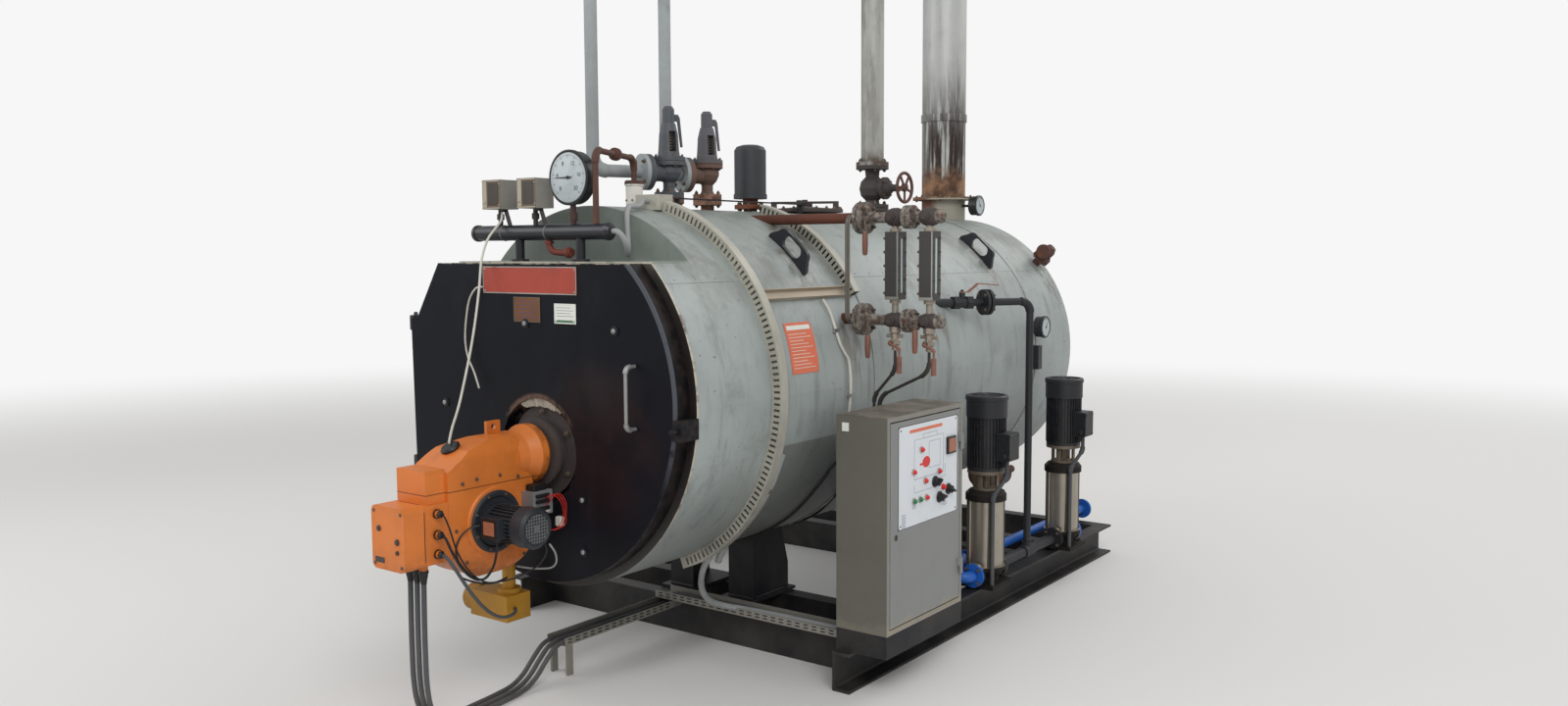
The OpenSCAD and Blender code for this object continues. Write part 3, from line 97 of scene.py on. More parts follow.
class Shader:
    """One procedural material, built node by node in the object's own coordinates."""

    def __init__(self, name):
        self.mat = bpy.data.materials.new(name)
        self.mat.use_nodes = True
        self.nodes = self.mat.node_tree.nodes
        self.links = self.mat.node_tree.links
        self.bsdf = self.nodes["Principled BSDF"]
        self.place = self.add("ShaderNodeTexCoord").outputs["Object"]
        self.x, self.y, self.z = self.add("ShaderNodeSeparateXYZ", Vector=self.place).outputs

    def add(self, kind, **values):
        node = self.nodes.new(kind)
        for key, value in values.items():
            self.put(node.inputs[key], value)
        return node

    def put(self, socket, value):
        if isinstance(value, bpy.types.NodeSocket):
            self.links.new(value, socket)
        else:
            socket.default_value = value

    def math(self, operation, a, b=0, kind="ShaderNodeMath"):
        node = self.nodes.new(kind)
        node.operation = operation
        self.put(node.inputs[0], a)
        if operation != "LENGTH":
            self.put(node.inputs[1], b)
        return node.outputs["Value"]

    def vector_math(self, operation, a, b=None):
        return self.math(operation, a, b, "ShaderNodeVectorMath")

    def times(self, *factors):
        """Product of sockets and numbers."""
        total = factors[0]
        for factor in factors[1:]:
            total = self.math("MULTIPLY", total, factor)
        return total

    def noise(self, scale, detail=5, rough=0.6, stretch=None):
        place = self.place
        if stretch:
            place = self.add("ShaderNodeMapping", Vector=place, Scale=stretch).outputs[0]
        return self.add("ShaderNodeTexNoise", Vector=place, Scale=scale, Detail=detail,
                        Roughness=rough).outputs[0]

    def mask(self, value, low, high, kind="SMOOTHSTEP"):
        """0 at low and below, 1 at high and above; low may be the larger one."""
        node = self.nodes.new("ShaderNodeMapRange")
        node.interpolation_type = kind
        rising = low < high
        ends = (low, high, 0, 1) if rising else (high, low, 1, 0)
        for name, end in zip(("From Min", "From Max", "To Min", "To Max"), ends):
            node.inputs[name].default_value = end
        self.put(node.inputs["Value"], value)
        return node.outputs[0]

    def cut(self, value, low, high):
        """Mask with a straight slope, for sharp borders."""
        return self.mask(value, low, high, "LINEAR")

    def between(self, value, low, high, soft=0.002):
        return self.times(self.cut(value, low - soft, low), self.cut(value, high + soft, high))

    def patches(self, low, high, *noise):
        """Noise cut to patches with soft edges."""
        return self.mask(self.noise(*noise), low, high)

    def ragged(self, value, reach, *noise):
        """Value with noise added, for ragged borders."""
        return self.math("ADD", value, self.times(self.noise(*noise), reach))

    def near(self, point, radius, soft):
        """1 inside a ball about a point."""
        return self.mask(self.vector_math("DISTANCE", self.place, point), radius + soft, radius)

    def edge(self, radius):
        """1 along sharp edges, from the difference between the bevelled and the true normal."""
        soft = self.add("ShaderNodeBevel", Radius=radius).outputs[0]
        true = self.add("ShaderNodeNewGeometry").outputs["Normal"]
        return self.mask(self.vector_math("DOT_PRODUCT", soft, true), 0.995, 0.93)

    def value(self, factor, a, b):
        node = self.nodes.new("ShaderNodeMix")
        node.data_type = "FLOAT"
        for place, value in ((0, factor), (2, a), (3, b)):
            self.put(node.inputs[place], value)
        return node.outputs[0]

    def mix(self, factor, a, b):
        """Mix of two colours: sockets, linear colours of four values or screen colours of three."""
        node = self.nodes.new("ShaderNodeMix")
        node.data_type = "RGBA"
        node.clamp_factor = True
        self.put(node.inputs[0], factor)
        for place, colour in ((6, a), (7, b)):
            plain = isinstance(colour, tuple) and len(colour) == 3
            self.put(node.inputs[place], srgb(*colour) if plain else colour)
        return node.outputs[2]

    def lay(self, colour, *factors):
        """Lays a colour over the body where all factors reach."""
        self.body = self.mix(self.times(*factors), self.body, colour)

    def dull(self, factor, roughness):
        """Changes the roughness where the factor reaches."""
        self.roughness = self.value(factor, self.roughness, roughness)

    def end(self, colour, roughness, metallic=0):
        for name, value in (("Base Color", colour), ("Roughness", roughness), ("Metallic", metallic)):
            self.put(self.bsdf.inputs[name], value)
        return self.mat


M = {}


def paint(name, colour, vary=0.22, rust=0, dirt=0.25, streaks=0, rough=0.5, metallic=0, grain=90,
          relief=0.15, edge=None, edge_size=0.002, low_dust=0, shine=0.5, after=None):
    """Paint or metal with blotches, streaks, rust, edge wear and dust; after(shader) may lay more over it."""
    s = Shader(name)
    colour = srgb(*colour)
    shade = scaled(colour, 1 - vary)
    blotch = s.noise(2.3, 6, 0.65)
    fine = s.noise(grain, 4)
    s.body = s.mix(s.mask(blotch, 0.3, 0.7), shade, scaled(colour, 1 + vary * 0.6))
    s.lay(shade, fine, 0.35)
    s.roughness = s.value(blotch, rough - 0.08, min(1, rough + 0.14))
    if streaks:
        s.lay(scaled(colour, 0.45), s.patches(0.5, 0.72, 9, 6, 0.7, (1.6, 1.6, 0.09)), streaks)
    if dirt:
        s.lay(GRIME, s.patches(0.52, 0.75, 6, 8, 0.7), dirt)
    metal = metallic
    if rust:
        spots = s.patches(0.74 - 0.34 * rust, 0.82 - 0.28 * rust, 14, 9, 0.72)
        s.lay(s.mix(s.noise(60, 4), RUST_DARK, RUST_LIGHT), spots)
        s.dull(spots, 0.88)
        if metallic:
            metal = s.value(spots, metallic, 0)
    if edge:
        s.lay(edge, s.edge(edge_size), s.patches(0.36, 0.6, 35, 5))
    if low_dust:
        s.lay(DUST, s.mask(s.z, 0.75, 0.02), s.patches(0.25, 0.75, 5, 6), low_dust)
    if after:
        after(s)
    height = s.math("ADD", fine, s.times(blotch, 2))
    normal = s.add("ShaderNodeBump", Height=height, Strength=relief, Distance=0.002).outputs[0]
    s.put(s.bsdf.inputs["Normal"], normal)
    s.put(s.bsdf.inputs["Specular IOR Level"], shine)
    M[name] = s.end(s.body, s.roughness, metal)


def shell_marks(s):
    """Pale chipped lip with some rust, stains under the fittings, a darker top, a darker lower sheet that is
    partly painted shade, and painted shade on the belly.
    """
    s.lay((0.74, 0.7, 0.62), s.mask(s.y, LIP + 0.014, LIP + 0.006), s.patches(0.35, 0.5, 40))
    s.lay(s.mix(s.noise(70), (0.22, 0.14, 0.11), (0.42, 0.26, 0.18)),
          s.mask(s.y, LIP + 0.022, LIP + 0.003), s.patches(0.5, 0.62, 12, 7, 0.7), 0.85)
    s.lay(s.mix(s.noise(30, 6), (0.065, 0.062, 0.066), (0.155, 0.12, 0.11)), s.cut(s.y, LIP + 0.001, LIP))
    stains = s.patches(0.46, 0.66, 3.2, 7, 0.7, (1, 1, 0.35))
    s.lay((0.37, 0.36, 0.31), stains, s.mask(s.z, 1.2, 1.72), 0.7)
    s.lay((0.43, 0.45, 0.4), s.mask(s.z, 1.35, 1.8), 0.3)
    right = s.mask(s.x, 0, 0.05)
    runs = s.patches(0.38, 0.6, 30, 5, 0.6, (1, 1, 0.15))
    for y, z, reach in SHELL_STAINS:
        s.lay((0.33, 0.27, 0.22), s.between(s.y, LIP + y - 0.05, LIP + y + 0.05, 0.035), right,
              s.mask(s.z, z - reach, z), s.mask(s.z, z + 0.03, z), runs, 0.65)
    s.lay((0.36, 0.25, 0.18), s.patches(0.7, 0.76, 42, 3, 0.5), 0.7)
    # Lower sheet behind the duct, below the seam at z 0.91, laid darker and fading rearwards: partly the
    # sheet's own darker colour, partly painted shade.
    fade = s.value(s.mask(s.y, LIP + 0.9, LIP + 1.35), 0.55, 0)
    s.lay((0.32, 0.315, 0.3), s.mask(s.z, 0.912, 0.908), s.between(s.y, LIP + 0.53, LIP + 1.35, 0.012), fade,
          s.mask(s.x, -0.25, 0.1))
    # Painted shade: the shell is laid darker towards the bottom.
    s.lay((0.27, 0.28, 0.27), s.mask(s.z, 0.95, 0.42), 0.55)


def shoulder_marks(s):
    """Darker upright sheet behind the flat step, with a few chips."""
    s.lay((0.42, 0.455, 0.42), s.mask(s.z, 1.594, 1.6), 0.5)
    s.lay((0.76, 0.73, 0.66), s.mask(s.y, LIP + 0.006, LIP + 0.002), s.patches(0.35, 0.5, 40))


def door_marks(s):
    """Grey worn rim, dark side, chipped top edge, a scorched ring at the burner and dusty wipes."""
    across = s.math("POWER", s.x, 2)
    up = s.math("POWER", s.math("SUBTRACT", s.z, AXIS_Z), 2)
    radius = s.math("SQRT", s.math("ADD", across, up))
    s.lay((0.33, 0.345, 0.375), s.mask(radius, 0.6535, 0.6555), s.patches(0.28, 0.46, 16, 6),
          s.mask(s.x, 0.05, 0.2), s.mask(s.z, 0.78, 1.05), 0.8)
    s.lay(s.mix(s.patches(0.4, 0.65, 22, 6), (0.065, 0.062, 0.066), (0.15, 0.115, 0.105)),
          s.mask(s.y, DOOR_Y + 0.004, DOOR_Y + 0.008), s.mask(s.x, 0, 0.1))
    s.lay((0.66, 0.63, 0.57), s.mask(s.z, 1.5835, 1.5855), s.patches(0.44, 0.56, 28, 6, 0.7),
          s.mask(s.y, DOOR_Y + 0.026, DOOR_Y + 0.01))
    s.lay(s.mix(s.noise(50), (0.27, 0.13, 0.1), (0.46, 0.4, 0.34)),
          s.near((0, DOOR_Y, BURNER_Z), 0.204, 0.014), s.mask(s.z, BURNER_Z + 0.09, BURNER_Z + 0.15),
          s.patches(0.36, 0.55, 22, 6), 0.9)
    s.lay((0.18, 0.11, 0.1), s.near((0.31, DOOR_Y, BURNER_Z + 0.05), 0.2, 0.14),
          s.patches(0.3, 0.6, 5, 6), 0.38)
    wipes = s.patches(0.5, 0.75, 3, 6, 0.7, (1, 1, 0.5))
    s.dull(wipes, 0.62)
    s.lay((0.26, 0.27, 0.3), wipes, 0.14)


def stack_marks(s):
    """Dark drips above the flange, mostly on the right, and a rusty bottom edge."""
    low = s.mask(s.ragged(s.z, 0.7, 7, 6, 0.7, (1.8, 1.8, 0.2)), 3.05, 2.5)
    s.lay((0.19, 0.14, 0.12), low, s.patches(0.37, 0.5, 16, 6, 0.65, (1.6, 1.6, 0.1)),
          s.mask(s.x, -0.17, 0))
    s.lay(s.mix(s.patches(0.35, 0.65, 9), (0.33, 0.22, 0.16), (0.62, 0.48, 0.36)),
          s.mask(s.ragged(s.z, 0.22, 8, 7, 0.7), 2.2, 2.12), s.patches(0.3, 0.52, 14, 6))
    s.dull(low, 0.65)


def steam_marks(s):
    """Dull patches and a dirty bottom flange."""
    patches = s.patches(0.42, 0.62, 6, 7, 0.7, (1.5, 1.5, 0.3))
    s.lay((0.46, 0.45, 0.42), patches, 0.6)
    s.lay((0.33, 0.26, 0.22), s.mask(s.z, 2.15, 2.06), s.patches(0.3, 0.55, 18, 6))
    s.dull(patches, 0.7)


def fitting_marks(s):
    """Dark clamp at the door's right edge and door paint on the washers under the studs."""
    s.lay((0.13, 0.135, 0.16), s.mask(s.y, DOOR_Y - 0.0055, DOOR_Y - 0.0045))
    clamp = s.mask(s.x, 0.655, 0.66)
    s.lay(s.mix(s.patches(0.45, 0.65, 30, 6), (0.1, 0.105, 0.125), (0.19, 0.165, 0.16)), clamp)
    s.dull(clamp, 0.6)


def arm_marks(s):
    """Flanges and end pieces grey with brown patches, the bare pipe rusty orange."""
    grey = s.mix(s.patches(0.35, 0.65, 60, 4), (0.29, 0.265, 0.25), (0.55, 0.52, 0.48))
    s.lay(grey, s.mask(s.x, 0.712, 0.72), s.patches(0.3, 0.5, 26, 7, 0.7))


def drain_marks(s):
    """Thin dark drain tubes below the bright cocks."""
    s.lay((0.27, 0.26, 0.25), s.mask(s.z, 1.246, 1.24))


def duct_marks(s):
    """Cream side tray, and a dirtier lower half of the duct."""
    cream = s.mix(s.noise(20, 6, 0.6, (1, 0.2, 1)), (0.78, 0.71, 0.62), (0.6, 0.55, 0.48))
    s.lay(cream, s.between(s.y, LIP + 0.462, LIP + 1.04), 0.8)
    s.lay((0.42, 0.42, 0.41), s.mask(s.z, 1.1, 0.55), s.patches(0.3, 0.6, 8, 6), 0.5)


def cabinet_marks(s):
    """Olive side that is painted shade, brown top, bluish door and ragged dust along the bottom."""
    # Painted shade: the side facing -Y is laid darker olive.
    side = s.cut(s.y, CAB_Y + 0.003, CAB_Y + 0.001)
    s.lay(s.mix(s.noise(5, 7, 0.7), (0.3, 0.29, 0.255), (0.39, 0.38, 0.34)), side, 0.85)
    s.lay(s.mix(s.patches(0.35, 0.65, 9, 7, 0.7), (0.45, 0.41, 0.35), (0.26, 0.22, 0.19)),
          s.cut(s.z, CAB_Z + CAB_H - 0.003, CAB_Z + CAB_H - 0.001), 0.85)
    front = s.cut(s.x, CAB_FACE - 0.002, CAB_FACE - 0.001)
    s.lay((0.53, 0.545, 0.555), front, 0.45)
    leaf = s.times(s.between(s.y, CAB_Y + 0.019, CAB_Y + CAB_W - 0.019),
                   s.between(s.z, CAB_Z + 0.019, CAB_Z + CAB_H - 0.019))
    s.lay((0.5, 0.47, 0.41), s.math("SUBTRACT", 1, leaf), front, s.patches(0.3, 0.6, 18, 6), 0.6)
    dust = s.mask(s.ragged(s.z, -0.13, 11, 7, 0.7), CAB_Z - 0.02, CAB_Z - 0.052)
    s.lay((0.57, 0.54, 0.48), dust, s.value(side, 0.85, 0.22))


def ignition_marks(s):
    """Bright box over a dark coil."""
    s.lay((0.13, 0.13, 0.14), s.cut(s.z, 0.7052, 0.7048))


def flue_marks(s):
    """Left half rusted through, right half still pale."""
    s.body = s.mix(s.mask(s.ragged(s.x, 0.12, 10, 6), 0.1, 0.04), (0.62, 0.6, 0.55), s.body)


def siphon_marks(s):
    """White pot."""
    s.lay((0.86, 0.85, 0.82), s.near((0, LIP + 0.455, 1.82), 0.078, 0.002), s.mask(s.z, 1.9, 1.89))


def burner_marks(s):
    """Oily grime at the joints, a dark parting line and the black cap."""
    s.lay((0.28, 0.16, 0.09), s.mask(s.z, 0.72, 0.5), s.patches(0.4, 0.65, 9, 7, 0.7), 0.55)
    s.lay((0.22, 0.12, 0.06), s.between(s.z, 0.8335, 0.836, 0.0008), 0.8)
    height = s.math("ADD", s.times(s.y, -0.47), s.times(s.z, 0.88))
    s.lay((0.06, 0.06, 0.07), s.near((-0.04, LIP - 0.4275, 0.965), 0.046, 0.001),
          s.cut(height, CAP_LINE, CAP_LINE + 0.001))
    s.lay((0.32, 0.2, 0.12), s.mask(s.y, LIP - 0.135, LIP - 0.115), s.patches(0.35, 0.6, 18, 6), 0.6)


def pump_marks(s):
    """Dark cast foot and head, bright brushed sleeve between them."""
    sleeve = s.between(s.z, 0.24, 0.53, 0.001)
    cast = s.mix(s.noise(40, 6), (0.13, 0.13, 0.14), (0.24, 0.22, 0.2))
    lantern = s.mix(s.noise(22), (0.58, 0.54, 0.48), (0.42, 0.38, 0.33))
    cast = s.mix(s.between(s.z, 0.5765, 0.67, 0.001), cast, lantern)
    s.body = s.mix(sleeve, cast, s.body)
    s.roughness = s.value(sleeve, 0.68, 0.34)


def switch_marks(s):
    """Browner front on the two switch boxes, dark fittings below."""
    s.lay((0.4, 0.33, 0.27), s.cut(s.y, LIP + 0.0165, LIP + 0.0155))
    s.lay((0.16, 0.15, 0.15), s.cut(s.z, 1.7895, 1.7885))


def rear_valve_marks(s):
    """Orange inlet flange and a blue-grey bonnet over the rusty bowl."""
    s.lay(s.mix(s.patches(0.4, 0.6, 30, 6), (0.36, 0.25, 0.2), (0.55, 0.4, 0.33)),
          s.mask(s.z, 1.872, 1.866))
    s.lay((0.33, 0.35, 0.38), s.mask(s.z, 1.99, 2), 0.8)


def front_valve_marks(s):
    """Rusty inlet flange."""
    s.lay((0.46, 0.28, 0.2), s.mask(s.z, 1.85, 1.84), 0.8)


def probe_marks(s):
    """Rusty nozzle under the dark can."""
    can = s.cut(s.z, CAN_FOOT_Z - 0.001, CAN_FOOT_Z)
    rust = s.mix(s.noise(30, 6), (0.34, 0.19, 0.14), (0.52, 0.33, 0.24))
    s.body = s.mix(can, rust, s.body)
    s.roughness = s.value(can, 0.85, s.roughness)


def dial_case_marks(s):
    """Rust on the stem of the big dial."""
    s.lay(RUST_DARK, s.mask(s.z, 1.8, 1.79), s.mask(s.y, 0, -0.2), 0.6)


def make_finishes():
    paint("cladding", (0.615, 0.645, 0.638), vary=0.15, rust=0.03, dirt=0.26, streaks=0.55, rough=0.46,
          grain=160, relief=0.07, after=shell_marks)
    paint("black_paint", (0.115, 0.125, 0.155), vary=0.3, rust=0.04, dirt=0.2, rough=0.36,
          edge=(0.36, 0.3, 0.27), grain=140, relief=0.06)
    paint("door_paint", (0.038, 0.048, 0.085), vary=0.3, dirt=0.06, rough=0.4, edge=(0.36, 0.35, 0.34),
          edge_size=0.003, grain=140, relief=0.05, shine=0.15, after=door_marks)
    paint("skid_paint", (0.1, 0.108, 0.13), rust=0.07, edge=(0.36, 0.33, 0.31), low_dust=0.16, relief=0.2,
          shine=0.3)
    paint("galvanised", (0.64, 0.63, 0.6), rust=0.12, dirt=0.3, rough=0.45, metallic=0.65, grain=60)
    paint("tray_metal", (0.57, 0.56, 0.53), rust=0.12, dirt=0.3, rough=0.6, metallic=0.2, low_dust=0.25)
    paint("duct_metal", (0.72, 0.71, 0.66), rust=0.12, dirt=0.28, streaks=0.2, metallic=0.2, after=duct_marks)
    paint("fittings_metal", (0.6, 0.6, 0.6), dirt=0.3, rough=0.45, metallic=0.6, after=fitting_marks)
    paint("box_beige", (0.7, 0.69, 0.64), dirt=0.35, streaks=0.3, edge=(0.8, 0.78, 0.72))
    paint("black_pipe", (0.12, 0.125, 0.145), vary=0.3, rust=0.14, relief=0.25)
    paint("grey_conduit", (0.6, 0.61, 0.61), dirt=0.3, rough=0.55, relief=0.08)
    paint("burner_orange", (0.835, 0.465, 0.185), vary=0.18, dirt=0.22, rough=0.4, edge=(0.7, 0.42, 0.22),
          grain=220, relief=0.12, after=burner_marks)
    paint("motor_grey", (0.165, 0.175, 0.195), rust=0.05, rough=0.45, edge=(0.33, 0.34, 0.35), shine=0.35)
    paint("can_grey", (0.225, 0.235, 0.25), rust=0.05, rough=0.45, shine=0.35, after=probe_marks)
    paint("gas_yellow", (0.66, 0.47, 0.05), vary=0.3, rust=0.15, dirt=0.5)
    paint("switch_grey", (0.52, 0.51, 0.48), rust=0.06, dirt=0.35, edge=(0.74, 0.72, 0.68),
          after=switch_marks)
    paint("ignition_grey", (0.6, 0.61, 0.62), dirt=0.5, rough=0.42, metallic=0.5, edge=(0.75, 0.75, 0.75),
          after=ignition_marks)
    paint("plug_dark", (0.24, 0.22, 0.21), dirt=0.3)
    paint("gauge_black", (0.13, 0.13, 0.14), rust=0.05, rough=0.34, after=dial_case_marks)
    paint("arm_rust", (0.385, 0.21, 0.15), vary=0.35, rust=0.4, rough=0.72, relief=0.35, after=arm_marks)
    paint("wheel_rust", (0.36, 0.24, 0.21), vary=0.35, rust=0.45, rough=0.7, relief=0.3,
          edge=(0.5, 0.36, 0.3))
    paint("tube_grey", (0.45, 0.43, 0.4), rust=0.25, dirt=0.35, metallic=0.2)
    paint("rusty_pipe", (0.345, 0.225, 0.19), vary=0.35, rust=0.55, rough=0.72, relief=0.35,
          after=siphon_marks)
    paint("valve_blue_grey", (0.285, 0.3, 0.32), rust=0.16, relief=0.3, grain=120, edge=(0.45, 0.4, 0.38),
          after=front_valve_marks)
    paint("valve_rust", (0.4, 0.31, 0.27), rust=0.5, rough=0.7, relief=0.35, after=rear_valve_marks)
    paint("flue_rust", (0.45, 0.31, 0.24), rust=0.6, rough=0.75, relief=0.3, after=flue_marks)
    paint("pale_pipe", (0.6, 0.62, 0.625), rust=0.1, dirt=0.3, streaks=0.5, rough=0.6)
    paint("aluminium_clad", (0.66, 0.66, 0.64), vary=0.14, dirt=0.3, streaks=0.45, metallic=0.3, grain=50,
          after=steam_marks)
    paint("stack_metal", (0.71, 0.715, 0.705), vary=0.14, dirt=0.2, streaks=0.4, rough=0.46, metallic=0.3,
          grain=50, after=stack_marks)
    paint("cast_body", (0.27, 0.24, 0.23), vary=0.3, rust=0.3, rough=0.7, relief=0.4)
    paint("level_gauge", (0.24, 0.23, 0.23), rust=0.2, edge=(0.5, 0.48, 0.45))
    paint("cock_metal", (0.66, 0.62, 0.57), rust=0.2, rough=0.42, metallic=0.6, after=drain_marks)
    paint("lever_orange", (0.5, 0.335, 0.275), vary=0.35, dirt=0.45, edge=(0.76, 0.62, 0.54))
    paint("cabinet_grey", (0.49, 0.49, 0.47), vary=0.12, rust=0.03, dirt=0.22, streaks=0.25,
          edge=(0.68, 0.65, 0.58), grain=260, relief=0.08, after=cabinet_marks)
    paint("panel_white", (0.84, 0.86, 0.88), vary=0.05, dirt=0.1, rough=0.4, relief=0.03)
    paint("pump_steel", (0.68, 0.65, 0.6), vary=0.15, dirt=0.3, streaks=0.3, rough=0.34, metallic=0.85,
          after=pump_marks)
    paint("motor_black", (0.115, 0.12, 0.135), dirt=0.2, rough=0.42, edge=(0.3, 0.3, 0.31), grain=200)
    paint("pipe_blue", (0.12, 0.38, 0.74), rust=0.05, dirt=0.3, rough=0.42)
    paint("cable_grey", (0.27, 0.28, 0.3), dirt=0.35, rough=0.6, low_dust=0.3)
    paint("wire_white", (0.8, 0.79, 0.75))
    paint("wire_red", (0.75, 0.12, 0.08), dirt=0.1, rough=0.45)
    paint("wire_black", (0.07, 0.07, 0.08), dirt=0.1, rough=0.45)
    paint("bolt_steel", (0.42, 0.37, 0.33), rust=0.35, metallic=0.5)
    paint("bright_steel", (0.72, 0.71, 0.69), dirt=0.2, rough=0.32, metallic=0.8)
    paint("plate_red", (0.64, 0.225, 0.15), vary=0.15, rough=0.45)
    paint("plate_orange", (0.86, 0.45, 0.33), vary=0.14, dirt=0.2, rough=0.45)
    paint("plate_brown", (0.44, 0.265, 0.13), vary=0.3, dirt=0.4, rough=0.45, metallic=0.2)
    paint("plate_green", (0.28, 0.45, 0.33), vary=0.2, dirt=0.2)
    paint("face_white", (0.86, 0.87, 0.84), vary=0.06, dirt=0.12, relief=0.02)
    # Dial faces: white greyed to blue-grey as painted shade.
    paint("shaded_dial_white", (0.7, 0.735, 0.75), vary=0.1, rough=0.4, relief=0.02)
    paint("ink", (0.07, 0.07, 0.08), vary=0.1, dirt=0, relief=0.02)
    paint("ink_blue", (0.2, 0.27, 0.42), vary=0.1, dirt=0, relief=0.02)
    paint("lamp_red", (0.82, 0.1, 0.08), vary=0.1, dirt=0.05, rough=0.2, relief=0.02)
    paint("lamp_green", (0.1, 0.45, 0.24), vary=0.1, dirt=0.05, rough=0.2, relief=0.02)
    paint("gasket", (0.05, 0.05, 0.05), vary=0.1, dirt=0.1, rough=0.8, relief=0.1)
    paint("glass_strip", (0.7, 0.77, 0.76), vary=0.2, rough=0.08, relief=0.02)
    paint("shoulder", (0.565, 0.6, 0.575), vary=0.2, rust=0.05, dirt=0.35, streaks=0.3,
          edge=(0.74, 0.71, 0.64), grain=120, relief=0.08, after=shoulder_marks)
    paint("lining", (0.82, 0.79, 0.73), vary=0.35, rust=0.25, dirt=0.35, rough=0.9, relief=0.8, grain=50)
    paint("grille_grey", (0.42, 0.43, 0.43), dirt=0.4)
    paint("plate_copper", (0.66, 0.42, 0.32), vary=0.2, dirt=0.3, rough=0.45)
    paint("window_brown", (0.245, 0.22, 0.19), vary=0.25, dirt=0.2, rough=0.18, relief=0.03)
    paint("switch_trim", (0.66, 0.63, 0.56), vary=0.15, rust=0.08, dirt=0.3)
    paint("rust_red", (0.47, 0.22, 0.17), vary=0.3, rust=0.3, rough=0.7, relief=0.3)


NODE_MATERIAL = {
    "front_door": "door_paint", "front_shoulder": "shoulder", "tray_rings": "duct_metal",
    "floor_trays": "tray_metal", "level_probe": "can_grey", "ignition_unit": "ignition_grey",
    "flue_neck": "flue_rust", "stack": "stack_metal", "gauge_cocks": "cock_metal",
    "junction_box": "box_beige", "door_fittings": "fittings_metal", "feed_line": "black_pipe",
    "feed_valve": "black_pipe", "discharge_manifold": "black_pipe", "motor_conduits": "cable_grey",
    "level_arms": "arm_rust", "steam_wheel": "wheel_rust",
}


def paint_nodes():
    """Every CAD node gets its own finish, by its record slot unless it is named above."""
    for part in frame["record"]["subparts"]:
        node = frame["nodes"][part["node"]]
        finish = M[NODE_MATERIAL.get(part["node"], part["material_slot"])]
        if not node.material_slots:
            node.data.materials.append(finish)
        for place in node.material_slots:
            place.material = finish


# From here on points are in metres. Millimetres are used for what makes up small forms (radii, profiles,
# bevels, widths of bolts, lifts off the shell), for wires and routes, and for places on the panel
SHARP_ANGLE = 35
RIVET = [(4, 0), (3.6, 1.2), (2, 2)]
SCREW = [(4, 0), (4, 2), (2, 3)]


def at(x, y, z):
    """Point y behind the shell's front lip."""
    return x, LIP + y, z


def circle(count, radius=1, phase=0):
    """Places evenly round a circle, the first one phase steps on."""
    turns = [2 * math.pi * (i + phase) / count for i in range(count)]
    return [(radius * math.cos(t), radius * math.sin(t)) for t in turns]


def frame_of(v):
    """Two unit vectors across v."""
    v = v.normalized()
    a = (X if abs(v.z) > 0.9 else Z).cross(v).normalized()
    return a, v.cross(a)


def border(u0, v0, u1, v1, w):
    """The four bars of a rectangular rim w wide, as pairs of corners, all in metres."""
    return (((u0, v0), (u1, v0 + w)), ((u0, v1 - w), (u1, v1)), ((u0, v0 + w), (u0 + w, v1 - w)),
            ((u1 - w, v0 + w), (u1, v1 - w)))


def on_shell(angle, y, lift=0):
    """Point on the shell at an angle in degrees up from +X, y behind the lip."""
    a, r = math.radians(angle), SHELL_R + lift / 1000
    return Vector(at(r * math.cos(a), y, AXIS_Z + r * math.sin(a)))


def smooth_line(points, steps=3):
    """Catmull-Rom line through the points."""
    points = [Vector(p) for p in points]
    line = []
    for i in range(len(points) - 1):
        p0, p1 = points[max(i - 1, 0)], points[i]
        p2, p3 = points[i + 1], points[min(i + 2, len(points) - 1)]
        for k in range(steps):
            t = k / steps
            line.append(0.5 * (2 * p1 + (p2 - p0) * t + (2 * p0 - 5 * p1 + 4 * p2 - p3) * t * t
                               + (3 * p1 - p0 - 3 * p2 + p3) * t ** 3))
    return line + [points[-1]]


def new_object(name, data):
    thing = bpy.data.objects.new(name, data)
    bpy.context.scene.collection.objects.link(thing)
    return thing


